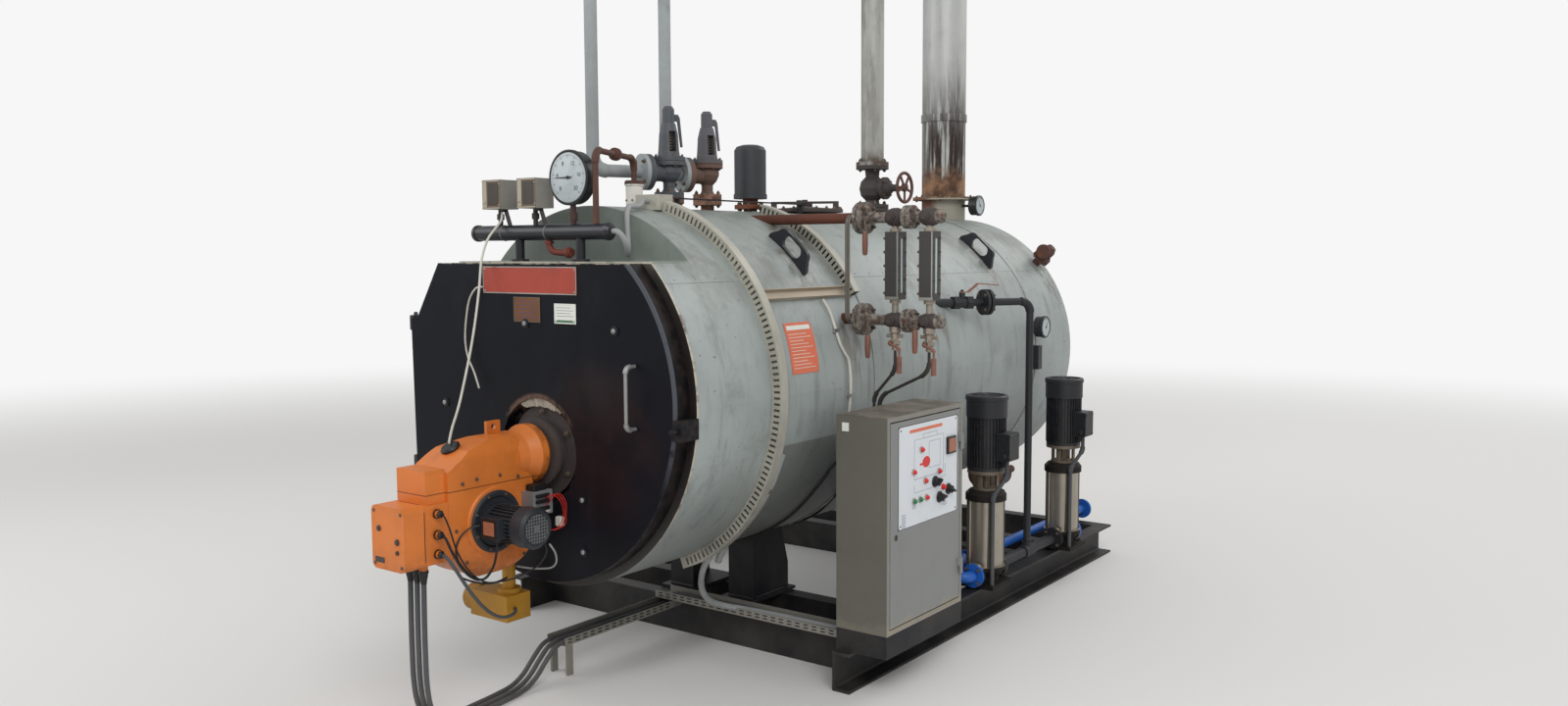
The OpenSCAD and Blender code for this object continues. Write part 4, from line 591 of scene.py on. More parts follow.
class Piece:
    """One mesh that collects many small forms, then rides on a body."""

    def __init__(self, name):
        self.name = name
        self.bm = bmesh.new()

    def loft(self, rings):
        """Skin over closed rings of equal length, closed at both ends."""
        rows = [[self.bm.verts.new(p) for p in ring] for ring in rings]
        count = len(rows[0])
        for low, high in zip(rows, rows[1:]):
            for i in range(count):
                j = (i + 1) % count
                self.bm.faces.new((low[i], low[j], high[j], high[i]))
        self.bm.faces.new(list(reversed(rows[0])))
        self.bm.faces.new(rows[-1])
        return self

    def turned(self, p, v, profile, sides=16, scale=(0.001, 0.001)):
        """Turned form along v from p, with a profile of (radius, distance)."""
        p, v = Vector(p), Vector(v).normalized()
        a, b = frame_of(v)
        return self.loft([[p + v * (distance * scale[1]) + (a * c + b * s) * (radius * scale[0])
                           for c, s in circle(sides)] for radius, distance in profile])

    def box(self, low, high, bevel=0):
        """Block between two corners, its edges cut off by bevel."""
        (x0, y0, z0), (x1, y1, z1) = low, high
        c = min(bevel / 1000, abs(x1 - x0) / 3, abs(y1 - y0) / 3, abs(z1 - z0) / 3)

        def ring(inset, z):
            i, j = inset, inset + c
            return [(x0 + j, y0 + i, z), (x1 - j, y0 + i, z), (x1 - i, y0 + j, z), (x1 - i, y1 - j, z),
                    (x1 - j, y1 - i, z), (x0 + j, y1 - i, z), (x0 + i, y1 - j, z), (x0 + i, y0 + j, z)]

        if c:
            return self.loft([ring(c, z0), ring(0, z0 + c), ring(0, z1 - c), ring(c, z1)])
        return self.loft([[(x0, y0, z), (x1, y0, z), (x1, y1, z), (x0, y1, z)] for z in (z0, z1)])

    def bolt(self, p, v, width, height=None):
        """Washer, chamfered hexagon and stud end standing on p towards v."""
        size = width / 2000, (height or width * 0.6) / 1000
        self.turned(p, v, [(1.3, 0), (1.3, 0.18)], 14, size)
        return self.turned(Vector(p) + Vector(v).normalized() * size[1] * 0.18, v,
                           [(1, 0), (1, 0.72), (0.86, 0.82), (0.5, 0.83), (0.48, 1.25)], 6, size)

    def tube(self, points, radius, sides=10):
        """Round tube along points."""
        points = [Vector(p) for p in points]
        rings = []
        for i, p in enumerate(points):
            d = (points[min(i + 1, len(points) - 1)] - points[max(i - 1, 0)]).normalized()
            if i == 0:
                a, b = frame_of(d)
            else:
                a = (a - d * a.dot(d)).normalized()
                b = d.cross(a)
            rings.append([p + (a * c + b * s) * (radius / 1000) for c, s in circle(sides)])
        return self.loft(rings)

    def hose(self, points, radius, sides=8):
        """Round tube on a smooth line through points."""
        return self.tube(smooth_line(points, 4), radius, sides)

    def wire(self, points, radius, sides=8):
        """The same through points in millimetres, given behind the lip."""
        return self.hose(from_lip(points), radius, sides)

    def done(self, material, slot=None, body="boiler"):
        """Makes the object, which rides on body; the slot argument is not used."""
        mesh = bpy.data.meshes.new(self.name)
        bmesh.ops.recalc_face_normals(self.bm, faces=self.bm.faces[:])
        self.bm.to_mesh(mesh)
        self.bm.free()
        mesh.materials.append(M[material])
        for polygon in mesh.polygons:
            polygon.use_smooth = True
        mesh.set_sharp_from_angle(angle=math.radians(SHARP_ANGLE))
        piece = new_object(self.name, mesh)
        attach(piece, body)


def block(name, low, high, bevel, *finish):
    """Piece of a single box."""
    Piece(name).box(low, high, bevel).done(*finish)


SKY = 0.93
FLOOR_SIZE = 60


def make_camera():
    camera = bpy.data.cameras.new("camera")
    camera.lens = 27.47
    camera.sensor_width = 36
    camera.clip_end = 200
    place = Matrix.Translation((3.273, -3.8235, 1.632))
    for angle, axis in ((36.35, "Z"), (90 - 4.92, "X"), (-0.22, "Z")):
        place = place @ Matrix.Rotation(math.radians(angle), 4, axis)
    eye = new_object("camera", camera)
    eye.matrix_world = place
    bpy.context.scene.camera = eye


def make_area(name, place, target, size, power):
    lamp = bpy.data.lights.new(name, "AREA")
    lamp.shape = "RECTANGLE"
    lamp.size, lamp.size_y = size
    lamp.energy = power
    thing = new_object(name, lamp)
    thing.location = place
    thing.rotation_euler = (Vector(target) - Vector(place)).to_track_quat("-Z", "Y").to_euler()


def make_world():
    """White surroundings, brighter to the camera than as light."""
    world = bpy.data.worlds.new("studio")
    bpy.context.scene.world = world
    world.use_nodes = True
    nodes, links = world.node_tree.nodes, world.node_tree.links
    back = nodes["Background"]
    back.inputs["Color"].default_value = (1, 1, 1, 1)
    path = nodes.new("ShaderNodeLightPath")
    most = nodes.new("ShaderNodeMath")
    most.operation = "MAXIMUM"
    links.new(path.outputs["Is Camera Ray"], most.inputs[0])
    links.new(path.outputs["Is Transmission Ray"], most.inputs[1])
    level = nodes.new("ShaderNodeMapRange")
    links.new(most.outputs[0], level.inputs["Value"])
    level.inputs["To Min"].default_value = 0.62
    level.inputs["To Max"].default_value = SKY
    links.new(level.outputs[0], back.inputs["Strength"])


def make_floor():
    """Pale ground that fades into the white surroundings."""
    mesh = bpy.data.meshes.new("floor")
    corners = ((-1, -1), (1, -1), (1, 1), (-1, 1))
    mesh.from_pydata([(FLOOR_SIZE * x, FLOOR_SIZE * y, 0) for x, y in corners], [], [(0, 1, 2, 3)])
    floor = new_object("floor", mesh)
    s = Shader("floor_paint")
    s.end(srgb(0.86, 0.855, 0.845), 0.75)
    glow = s.add("ShaderNodeEmission", Color=(1, 1, 1, 1), Strength=SKY)
    far = s.mask(s.vector_math("LENGTH", s.place), 5, 14)
    seen = s.add("ShaderNodeLightPath").outputs["Is Camera Ray"]
    blend = s.nodes.new("ShaderNodeMixShader")
    for place, value in enumerate((s.times(far, seen), s.bsdf.outputs[0], glow.outputs[0])):
        s.put(blend.inputs[place], value)
    s.put(s.nodes["Material Output"].inputs["Surface"], blend.outputs[0])
    mesh.materials.append(s.mat)


def make_studio():
    make_camera()
    make_world()
    make_area("key_light", (5.5, -5, 6.5), (0.3, 0.4, 1), (5, 4), 330)
    make_area("side_light", (-5, -4.5, 4.5), (0, 0, 0.9), (4, 4), 130)
    make_area("back_light", (2.5, 7, 6), (0.2, 1.5, 1.2), (6, 3), 160)
    make_floor()
    bpy.context.scene.view_settings.view_transform = "Standard"


BURNER_CABLE_X = (-45, -10, 25)
BURNER_CABLE_D = 0.018
BURNER_ROUTE = [
    (0, -600, 580), (0, -600, 540), (0, -602, 400), (-1, -601, 290), (-3, -597, 200), (-8, -582, 120),
    (-16, -550, 60), (-28, -498, 24), (-40, -430, 11), (-55, -320, 9.3), (-70, -200, 9.3), (-83, -110, 14),
    (-92, -45, 38), (-97, 10, 84), (-100, 60, 122), (-100, 112, 134.5), (-100, 180, 132.3),
    (-100, 740, 132.3),
]
SWITCH_CABLE_D = 0.009
SWITCH_ROUTE = [
    (-297, 42, 1779.7), (-297, 42, 1764), (-294, 32, 1743), (-286, -3, 1714), (-272, -51, 1674),
    (-254, -96, 1602), (-236, -124, 1505), (-216, -160, 1395), (-192, -205, 1285), (-160, -262, 1178),
    (-122, -322, 1090), (-86, -380, 1026), (-58, -415, 990), (-42, -430, 981),
]
LOOP_D = 0.02
LOOP_ROUTE = [
    (268.3, 60, 1700), (288, 60, 1699), (306, 64, 1686), (313, 73, 1664), (310, 86, 1641), (298, 103, 1624),
    (281, 122, 1618), (264, 140, 1625), (251, 155, 1644), (242, 164, 1670), (236, 169, 1698),
    (231, 172, 1727), (226, 176, 1755), (220, 185, 1779), (212, 204, 1792), (201, 232, 1794),
    (188, 264, 1794), (172, 300, 1799), (153, 332, 1808), (136, 355, 1817), (128, 376, 1820),
    (128, 396.7, 1820),
]


def from_lip(route, shift=0):
    """Route in millimetres behind the lip, as points in the frame."""
    return [Vector(at((x + shift) / 1000, y / 1000, z / 1000)) for x, y, z in route]


def make_cord(name, route, diameter, material, nodes):
    line = smooth_line(route)
    curve = bpy.data.curves.new(name, "CURVE")
    curve.dimensions = "3D"
    curve.bevel_depth = diameter / 2
    curve.bevel_resolution = 4
    curve.use_fill_caps = True
    spline = curve.splines.new("POLY")
    spline.points.add(len(line) - 1)
    for point, place in zip(spline.points, line):
        point.co = (*place, 1)
    curve.materials.append(M[material])
    cord = new_object(name, curve)
    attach(cord, "boiler")
    if nodes:
        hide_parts(*nodes)


def make_cords():
    for k, x in enumerate(BURNER_CABLE_X):
        make_cord(f"burner_cable_{k + 1}", from_lip(BURNER_ROUTE, x), BURNER_CABLE_D, "cable_grey",
                  [] if k else ["burner_cables"])
    make_cord("switch_cable", from_lip(SWITCH_ROUTE), SWITCH_CABLE_D, "wire_white", ["switch_cables"])
    make_cord("header_cable", from_lip(LOOP_ROUTE), LOOP_D, "grey_conduit", [])


def flange_bolts(piece, centre, axis, radius, count, span, width):
    """Bolt heads behind and nuts in front of a pair of flanges that starts at centre and is span thick."""
    axis = Vector(axis).normalized()
    a, b = frame_of(axis)
    for c, s in circle(count, phase=0.5):
        foot = Vector(centre) + (a * c + b * s) * (radius / 1000)
        piece.bolt(foot, -axis, width, width * 0.5)
        piece.bolt(foot + axis * (span / 1000), axis, width, width * 0.75)


def make_flange_bolts():
    p = Piece("top_flange_bolts")
    for y in SAFETY_VALVE_Y:
        flange_bolts(p, (0, y, 1.82), Z, 46, 4, 46, 15)
        flange_bolts(p, (0, y, 1.974), Z, 57, 8, 34, 10)
        flange_bolts(p, Vector((0, y, 1.945)) + VENT_DIR * 0.088, VENT_DIR, 56, 4, 38, 14)
    for z in (1.824, 2.037):
        flange_bolts(p, (0, STEAM_Y, z), Z, 62.5, 4, 36, 18)
    flange_bolts(p, (0.068, STEAM_Y, 1.94), X, 47, 4, 16, 11)
    flange_bolts(p, (0, STACK_Y, 1.904), Z, 150, 8, 16.3, 12)
    flange_bolts(p, at(0, 1.195, 1.812), Z, 55, 6, 18, 13)
    for u, v in circle(20, 0.168):
        p.bolt(at(u, 1.61 + v, 1.8205), Z, 14)
    p.done("bolt_steel", "cast_body")

    p = Piece("side_flange_bolts")
    for z in ARM_Z:
        flange_bolts(p, (0.722, GAUGE_Y, z), X, 50, 4, 36, 15)
        flange_bolts(p, (0.93, GAUGE_Y, z), X, 36, 4, 36, 11)
    feed_dir = Vector((0.295, 0.458, 0)).normalized()
    flange_bolts(p, Vector(at(0.6, 1.702, 1.39)) + feed_dir * 0.29, feed_dir, 46, 4, 36, 14)
    out = Vector((math.cos(math.radians(40.7)), 0, math.sin(math.radians(40.7))))
    flange_bolts(p, Vector(at(0, 3.014, AXIS_Z)) + out * 0.731, out, 38, 4, 30, 11)
    for y in (2.66, 2.86):
        flange_bolts(p, at(0.4, y, 0.42), Y, 50, 4, 30, 14)
    for y in PUMP_Y:
        for side in (-1, 1):
            flange_bolts(p, (PUMP_X, y + side * 0.094, 0.21), (0, side, 0), 41, 4, 31, 13)
    p.done("bolt_steel", "cast_body")

    p = Piece("mount_bolts")
    for u, v in circle(6, 0.145, 0.5):
        p.bolt(at(u, -0.038, BURNER_Z + v), -Y, 20)
    p.done("bolt_steel", "cast_body")


def make_springs():
    """Coil springs in the open bonnets of the safety valves."""
    p = Piece("valve_springs")
    radius, low, high, turns, steps = 0.017, 2.03, 2.108, 7, 14
    count = turns * steps
    for y in SAFETY_VALVE_Y:
        line = []
        for k in range(count + 1):
            turn = 2 * math.pi * k / steps
            line.append((radius * math.cos(turn), y + radius * math.sin(turn),
                         low + (high - low) * k / count))
        p.tube(line, 3.5, 6)
    p.done("bolt_steel", "valve_blue_grey")


def arc_strip(piece, y0, y1, low, high, start, end, steps=0):
    """Curved bar on the shell between two angles in degrees, low and high above the surface."""
    steps = steps or max(2, int((end - start) / 2))
    turns = [start + (end - start) * k / steps for k in range(steps + 1)]
    piece.loft([[on_shell(a, y, lift) for y, lift in ((y0, low), (y1, low), (y1, high), (y0, high))]
                for a in turns])


def shell_rivet(piece, angle, y, lift, profile=RIVET):
    spot = on_shell(angle, y, lift)
    piece.turned(spot, spot - Vector((0, spot.y, AXIS_Z)), profile, 8)


def make_shell_details():
    """Overlapping sheet joints with their rivets, and a plate with plain rules on the right side."""
    joints = Piece("cladding_joints")
    half, pitch = math.degrees(0.015 / SHELL_R), 0.11
    for a in (-15.7, 38, 142, 195.7):
        for y0, y1 in ((0.012, 0.4), (1.142, 2.655), (2.692, 3.095)):
            joints.loft([[on_shell(a + turn, y, lift) for turn, lift in
                          ((-half, -1), (half, -1), (half, 1.2), (-half, 1.2))] for y in (y0, y1)])
            for i in range(int((y1 - y0) / pitch)):
                shell_rivet(joints, a, y0 + 0.05 + i * pitch, 1)
    joints.done("cladding")

    rivets = Piece("band_rivets")
    for y in (1.117, 1.133, 2.667, 2.683):
        for i in range(39):
            shell_rivet(rivets, -85 + 4.3 * i, y, 3.2)
    rivets.done("bright_steel", "galvanised")

    plate = Piece("side_plate")
    arc_strip(plate, 0.548, 0.72, 0.4, 2.2, 6, 21.8, 8)
    plate.done("plate_orange", "burner_orange")
    rules = Piece("side_plate_rules")
    for k in range(11):
        a = 7.6 + 1.05 * k
        arc_strip(rules, 0.562, 0.7 - 0.024 * (k % 3), 2.2, 2.6, a, a + 0.16)
    arc_strip(rules, 0.56, 0.708, 2.2, 2.6, 19.5, 20.9)
    rules.done("face_white", "burner_orange")
    pins = Piece("side_plate_rivets")
    for a in (6.8, 21.3):
        for y in (0.553, 0.715):
            shell_rivet(pins, a, y, 2.2, [(4, 0), (3.6, 1), (2, 1.8)])
    pins.done("bright_steel", "galvanised")


def make_rear_duct():
    """Second slotted wiring duct, from the end of the side tray up to the level probe."""
    y0, y1 = 1.045, 1.086
    start, end, pitch, slot = 29.4, 77, 1.75, 0.74
    duct = Piece("rear_wiring_duct")
    for low, high in ((0.4, 3.5), (40, 43)):
        arc_strip(duct, y0, y1, low, high, start, end)
    for ya, yb in ((y0, y0 + 0.003), (y1 - 0.003, y1)):
        for low, high in ((3.5, 8), (35, 40)):
            arc_strip(duct, ya, yb, low, high, start, end)
        for k in range(int((end - start) / pitch)):
            a = start + k * pitch
            arc_strip(duct, ya, yb, 8, 35, a, a + pitch - slot)
    duct.done("duct_metal", "galvanised")
    core = Piece("rear_wiring_duct_inside")
    arc_strip(core, y0 + 0.004, y1 - 0.004, 3.6, 39.9, start + 0.2, end - 0.2)
    core.done("gasket", "galvanised")


def make_shell_wires():
    """Pale conduit from the side tray down to the cabinet's back, and two dark cables round the belly."""
    line = [on_shell(a, y, 9) for a, y in (
        (28.6, 0.85), (25.8, 0.862), (22.3, 0.866), (17.8, 0.867), (13.3, 0.876), (10.2, 0.898),
        (8, 0.916), (2.8, 0.92), (-3.1, 0.92), (-9.1, 0.921), (-15, 0.922))]
    line += [at(CAB_BACK - back, 0.922, z) for back, z in ((0.06, 0.84), (0.024, 0.79), (0, 0.78))]
    Piece("shell_conduit").hose(line, 6, 10).done("wire_white", "cable_grey")
    clips = Piece("shell_conduit_clips")
    for a, y in ((17.8, 0.867), (-3.1, 0.92)):
        for y0, y1, low in ((-0.014, 0.014, 14.6), (-0.014, -0.012, 0), (0.012, 0.014, 0)):
            arc_strip(clips, y + y0, y + y1, low, 15.8, a - 0.5, a + 0.5)
    clips.done("bright_steel", "galvanised")
    dark = Piece("belly_cables")
    for y, leave, route in (
            (0.925, ((0, 0.86), (0.047, 0.868), (0.102, 0.872), (0.139, 0.858), (0.169, 0.825)),
             ((-28.5, 0.917), (-35.7, 0.892), (-48.1, 0.878), (-59.5, 0.861), (-72, 0.85), (-84, 0.845))),
            (1.08, ((0, 0.7), (0.057, 0.702), (0.127, 0.69), (0.187, 0.67), (0.247, 0.65), (0.302, 0.625)),
             ((-45.1, 1.127), (-57.8, 1.168), (-71, 1.19), (-84, 1.2)))):
        line = [at(CAB_BACK - back, y, z) for back, z in leave] + [on_shell(a, b, 5.5) for a, b in route]
        dark.hose(line, 5, 9)
    dark.done("wire_black", "cable_grey")


def make_duct_conduits():
    """Two flexible conduits that leave the duct's lower end, one into the floor tray, one cut off."""
    hoses = Piece("duct_conduits")
    for angles, y, lift, radius, ends in (
            ((-24, -32, -40, -48, -56), 0.476, 13, 12.5,
             ((345, 480, 452), (292, 498, 372), (252, 545, 292), (232, 615, 226), (245, 690, 190),
              (300, 745, 172), (420, 766, 166.5), (620, 768, 166.5), (820, 768, 166.5))),
            ((-18, -26, -34, -42, -49, -55), 0.504, 14, 13, ((382, 512, 470), (352, 524, 425)))):
        hoses.hose([on_shell(a, y, lift) for a in angles] + from_lip(ends), radius, 12)
    hoses.done("grey_conduit")
    straps = Piece("conduit_straps")
    for a in (-30, -46):
        for y0, y1, low in ((0.46, 0.52, 26.2), (0.459, 0.4605, 0.4), (0.5195, 0.521, 0.4)):
            arc_strip(straps, y0, y1, low, 27.6, a - 0.7, a + 0.7)
    straps.done("bright_steel", "galvanised")


def door_plate(name, x0, x1, z0, z1, material, rim):
    """Bare plate on the door with a raised rim and four rivets."""
    block(name, (x0, DOOR_Y - 0.0018, z0), (x1, DOOR_Y, z1), 0.5, material, "black_paint")
    edge = Piece(name + "_rim")
    for low, high in border(x0, z0, x1, z1, 0.004):
        edge.box((low[0], DOOR_Y - 0.0028, low[1]), (high[0], DOOR_Y - 0.0018, high[1]), 0.3)
    for x in (x0 + 0.01, x1 - 0.01):
        for z in (z0 + 0.01, z1 - 0.01):
            edge.turned((x, DOOR_Y - 0.0018, z), -Y, [(3.5, 0), (3, 1.2), (1.5, 2)], 8)
    edge.done(rim, "galvanised")


def make_door_details():
    door_plate("door_plate_wide", -0.28, 0.214, 1.477, 1.576, "plate_red", "bright_steel")
    door_plate("door_plate_small", -0.114, 0.026, 1.375, 1.466, "plate_brown", "bolt_steel")
    door_plate("door_plate_pale", 0.1, 0.208, 1.375, 1.446, "face_white", "face_white")
    block("door_plate_strip", (0.104, DOOR_Y - 0.0026, 1.379), (0.204, DOOR_Y - 0.0018, 1.388), 0.2,
          "plate_green", "black_paint")
    rules = Piece("door_plate_rules")
    for count, x0, x1, less, z0, pitch, thick in ((4, 0.112, 0.196, 0.012, 1.401, 0.01, 0.0014),
                                                  (5, -0.098, 0.01, 0.016, 1.392, 0.014, 0.0022)):
        for k in range(count):
            z = z0 + pitch * k
            rules.box((x0, DOOR_Y - 0.0022, z), (x1 - less * (k % 2), DOOR_Y - 0.0018, z + thick))
    rules.done("ink_blue", "black_paint")
    Piece("loose_white_wire").wire([
        (-262, -89, 1500), (-300, -88.5, 1494), (-338, -89, 1452), (-358, -90, 1380), (-366, -91, 1300),
        (-352, -91.5, 1235), (-318, -92, 1180), (-290, -93, 1120)], 3.4).done("wire_white", "cable_grey")

    random.seed(7)
    rings = []
    last = 45
    outer, back = 0.1935, LIP - 0.023
    for k in range(last + 1):
        a = math.radians(52 + 70 * k / last)
        inner = outer - (0.026 * math.sin(math.pi * k / last) ** 0.4 + 0.004 + 0.006 * random.random())
        front = DOOR_Y + 0.005 + 0.01 * random.random()
        rings.append([(r * math.cos(a), y, BURNER_Z + r * math.sin(a)) for r, y in (
            (inner, back), (inner + 0.004 * random.random(), front + 0.008), (outer, front), (outer, back))])
    Piece("recess_lining").loft(rings).done("lining", "black_paint")

    hooks = Piece("door_edge_blocks")
    for z in (0.76, 1.32):
        hooks.box(at(-0.745, -0.06, z), at(-0.7225, -0.012, z + 0.06), 3)
        hooks.turned(at(-0.735, -0.036, z - 0.012), Z, [(6, 0), (8, 4), (8, 80), (6, 84)], 12)
    hooks.done("black_paint")


def make_burner_details():
    x, y, z = 0.269, FAN.y, FAN.z
    reach, pitch, bar = 0.05, 0.0112, 0.0013
    back = Piece("motor_grille_back").turned((x - 0.0012, y, z), X, [(50, 0), (50, 0.8)], 40)
    back.done("gasket", "motor_grey")
    grille = Piece("motor_grille").turned((x, y, z), X, [(12, 0), (12, 2.2)], 24)
    for i in range(-4, 5):
        c = i * pitch
        half = math.sqrt(reach ** 2 - c ** 2)
        grille.box((x, y + c - bar, z - half), (x + 0.0022, y + c + bar, z + half))
        grille.box((x + 0.0005, y - half, z + c - bar), (x + 0.0027, y + half, z + c + bar))
    grille.done("grille_grey", "motor_grey")
    ring = Piece("fan_inlet_ring")
    ring.turned(FAN + X * FAN_W, X, [(108.5, -2), (122, -2), (122, 3), (117, 7), (108.5, 7)], 72)
    ring.done("burner_orange")

    fixings = Piece("burner_fixings")
    for u, v in circle(8, 0.096, 0.5):
        fixings.bolt((FAN.x + FAN_W + 0.0145, FAN.y + u, FAN.z + v), X, 8)
    for y, z in ((-0.46, 0.855), (-0.4, 0.862), (-0.3, 0.862), (-0.22, 0.845), (-0.49, 0.7), (-0.45, 0.585),
                 (-0.2, 0.565)):
        fixings.bolt(at(FAN.x + FAN_W, y, z), X, 10)
    for x in (-0.09, 0.05):
        for z in (0.618, 0.792):
            fixings.turned(at(x, -0.7005, z), -Y, [(6, 0), (5.5, 2), (3, 3)], 10)
    fixings.done("bolt_steel", "motor_grey")

    plugs = Piece("control_box_plugs")
    for x, z, r in ((-0.065, 0.735, 10), (0.03, 0.7, 11), (0.03, 0.665, 8)):
        plugs.turned(at(x, -0.7, z), -Y, [(r, 0), (r, 2), (r * 0.75, 3), (r * 0.7, 6), (r * 0.4, 7)])
    plugs.box(at(-0.088, -0.7016, 0.622), at(-0.04, -0.7, 0.64), 0.5)
    plugs.turned(at(0.066, -0.57, 0.705), X, [(14, 0), (14, 3), (10, 4), (10, 8)])
    plugs.done("plug_dark", "motor_grey")
    seam = Piece("control_box_seam")
    for x0, z0, x1, z1 in ((-0.1055, 0.622, -0.1045, 0.788), (0.0645, 0.622, 0.0655, 0.788),
                           (-0.083, 0.8095, 0.043, 0.8105)):
        seam.box(at(x0, -0.6212, z0), at(x1, -0.6188, z1))
    seam.done("gasket", "motor_grey")
    glands = Piece("control_box_glands")
    for z in (0.64, 0.705, 0.775):
        glands.turned(at(0.0785, -0.57, z), X, [(13.5, 0), (13.5, 6), (11, 8), (8.5, 14)], 6)
        glands.turned(at(0.064, -0.57, z), X, [(16, 0), (16, 4)], 12)
    glands.done("wire_black", "cable_grey")
    block("motor_terminal_plate", at(0.104, -0.4195, 0.674), at(0.176, -0.417, 0.736), 1,
          "wire_black", "motor_grey")
    block("motor_bare_plate", at(0.112, -0.4203, 0.682), at(0.166, -0.4195, 0.728), 0.3,
          "plate_copper", "motor_grey")

    wires = Piece("burner_wiring_black")
    wires.wire([(92, -570, 775), (104, -568, 765), (108, -552, 720), (102, -520, 640), (98, -470, 565),
                (88, -400, 512), (86, -330, 497), (110, -270, 505), (170, -235, 545), (222, -240, 600),
                (238, -262, 640)], 3)
    wires.wire([(92, -570, 705), (104, -567, 695), (108, -548, 650), (98, -500, 580), (96, -450, 535),
                (106, -412, 530), (128, -394, 570), (140, -388, 625), (141, -387, 669)], 4.5)
    wires.wire([(75, -490, 545), (88, -440, 520), (80, -360, 497), (74, -290, 500)], 3.5)
    wires.turned(at(0.141, -0.387, 0.655), Z, [(7, 0), (10, 4), (10, 14)], 12)
    wires.wire([(98, -424, 712), (80, -450, 706), (66, -478, 680), (63, -495, 640), (70, -492, 600),
                (82, -468, 560), (88, -440, 532)], 3)
    wires.done("wire_black", "cable_grey")
    Piece("gas_valve_lead").wire([
        (90, -570, 640), (112, -566, 628), (128, -545, 585), (130, -490, 500), (118, -420, 425),
        (90, -340, 375), (50, -260, 352), (10, -200, 347), (-20, -178, 347)], 6, 10).done("cable_grey")
    Piece("flame_sensor_lead").wire([
        (262, -262, 640), (254, -230, 602), (226, -200, 560), (178, -176, 528), (120, -166, 512),
        (66, -176, 507), (10, -190, 509)], 3.4).done("grey_conduit", "cable_grey")
    red = Piece("ignition_leads_red")
    for t in (0, 15, 28):
        red.wire([(120.5, -150, 760 - t), (145, -140 + t, 775), (166 + t, -122, 755),
                  (172 + t / 2, -112, 705), (158, -122 + t, 660), (138, -140, 648),
                  (105.5, -150, 655 + t)], 1.6, 7)
    red.done("wire_red", "cable_grey")

    parts = Piece("ignition_fittings")
    x = 0.1203
    for z in (0.73, 0.755, 0.775):
        parts.box(at(x, -0.195, z - 0.007), at(x + 0.01, -0.135, z + 0.005), 1.5)
        for y in (-0.185, -0.165, -0.145):
            parts.turned(at(x + 0.01, y, z - 0.001), X, SCREW, 8)
    parts.box(at(0.065, -0.19, 0.789), at(0.11, -0.13, 0.812), 3)
    parts.done("wire_black", "motor_grey")
    white = Piece("ignition_connector").box(*from_lip([(125, -110, 655), (155, -90, 690)]), 3)
    white.box(*from_lip([(120.5, -200, 712), (124.5, -130, 720)]), 1).done("wire_white", "cable_grey")
    relief = Piece("cable_reliefs")
    for x in BURNER_CABLE_X:
        relief.turned(at(x / 1000, -0.6, 0.586), -Z,
                      [(17, 0), (17, 10), (14.5, 12), (14, 22), (11.5, 32), (9.6, 46)], 20)
    relief.done("wire_black", "cable_grey")


def dial_face(name, centre, axis, radius, needle, numbers=()):
    """White face greyed by painted shade, radius in metres, with strokes, a needle and plain numbers, in
    front of the case.
    """
    right = X if abs(axis.y) > 0.5 else Y
    centre = Vector(centre)
    front = centre + axis * 0.0013
    scale = (radius, 0.001)
    disc = Piece(name + "_face").turned(centre, axis, [(1, 0), (1, 0.8), (0.99, 1.2)], 64, scale)
    disc.done("shaded_dial_white", "gauge_black")
    ink = Piece(name + "_scale")

    def spot(angle, r, lift=0):
        return front + (right * math.cos(angle) + Z * math.sin(angle)) * r + axis * lift

    def stroke(angle, stops, lift, thick):
        """Flat bar along the angle, with stops of (distance, half width) in radii."""
        side = right * -math.sin(angle) + Z * math.cos(angle)
        rings = []
        for r, w in stops:
            p = spot(angle, r * radius, lift)
            s = side * w * radius
            rings.append([p - s, p + s, p + s + axis * thick, p - s + axis * thick])
        ink.loft(rings)

    for k in range(51):
        start, width = (0.87, 0.005) if k % 5 else (0.8, 0.01)
        stroke(math.radians(225 - 270 * k / 50), ((start, width), (0.93, width)), 0, 0.0004)
    stroke(math.radians(needle), ((-0.22, 0.03), (0, 0.03), (0.62, 0.012), (0.84, 0.002)), 0.0022, 0.0008)
    ink.turned(front, axis, [(0.07, 0), (0.07, 4), (0.04, 5)], 20, scale)
    ink.done("ink", "gauge_black")
    for k, word in enumerate(numbers):
        text = bpy.data.curves.new(f"{name}_text_{k}", "FONT")
        text.body = word
        text.size = radius * 0.24
        text.align_x = text.align_y = "CENTER"
        text.extrude = 0.0002
        shape = bpy.data.objects.new(f"{name}_text_{k}", text)
        mesh = bpy.data.meshes.new_from_object(shape)
        bpy.data.objects.remove(shape)
        place = spot(math.radians(225 - 54 * k), 0.62 * radius, 0.0003)
        mesh.transform(Matrix.Translation(place) @ Matrix((right, Z, axis)).transposed().to_4x4())
        mesh.materials.clear()
        mesh.materials.append(M["ink"])
        number = new_object(f"{name}_number_{k}", mesh)
        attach(number, "boiler")


def make_dials():
    dial_face("pressure_dial", at(0.07, 0.0378, 1.895), -Y, 0.0895, 180, ("0", "4", "8", "12", "16", "20"))
    dial_face("flue_dial", (0.2265, STACK_Y, 1.87), X, 0.0455, 120)
    dial_face("shell_dial", at(0.7662, 2.63, 1.24), X, 0.0455, 60)


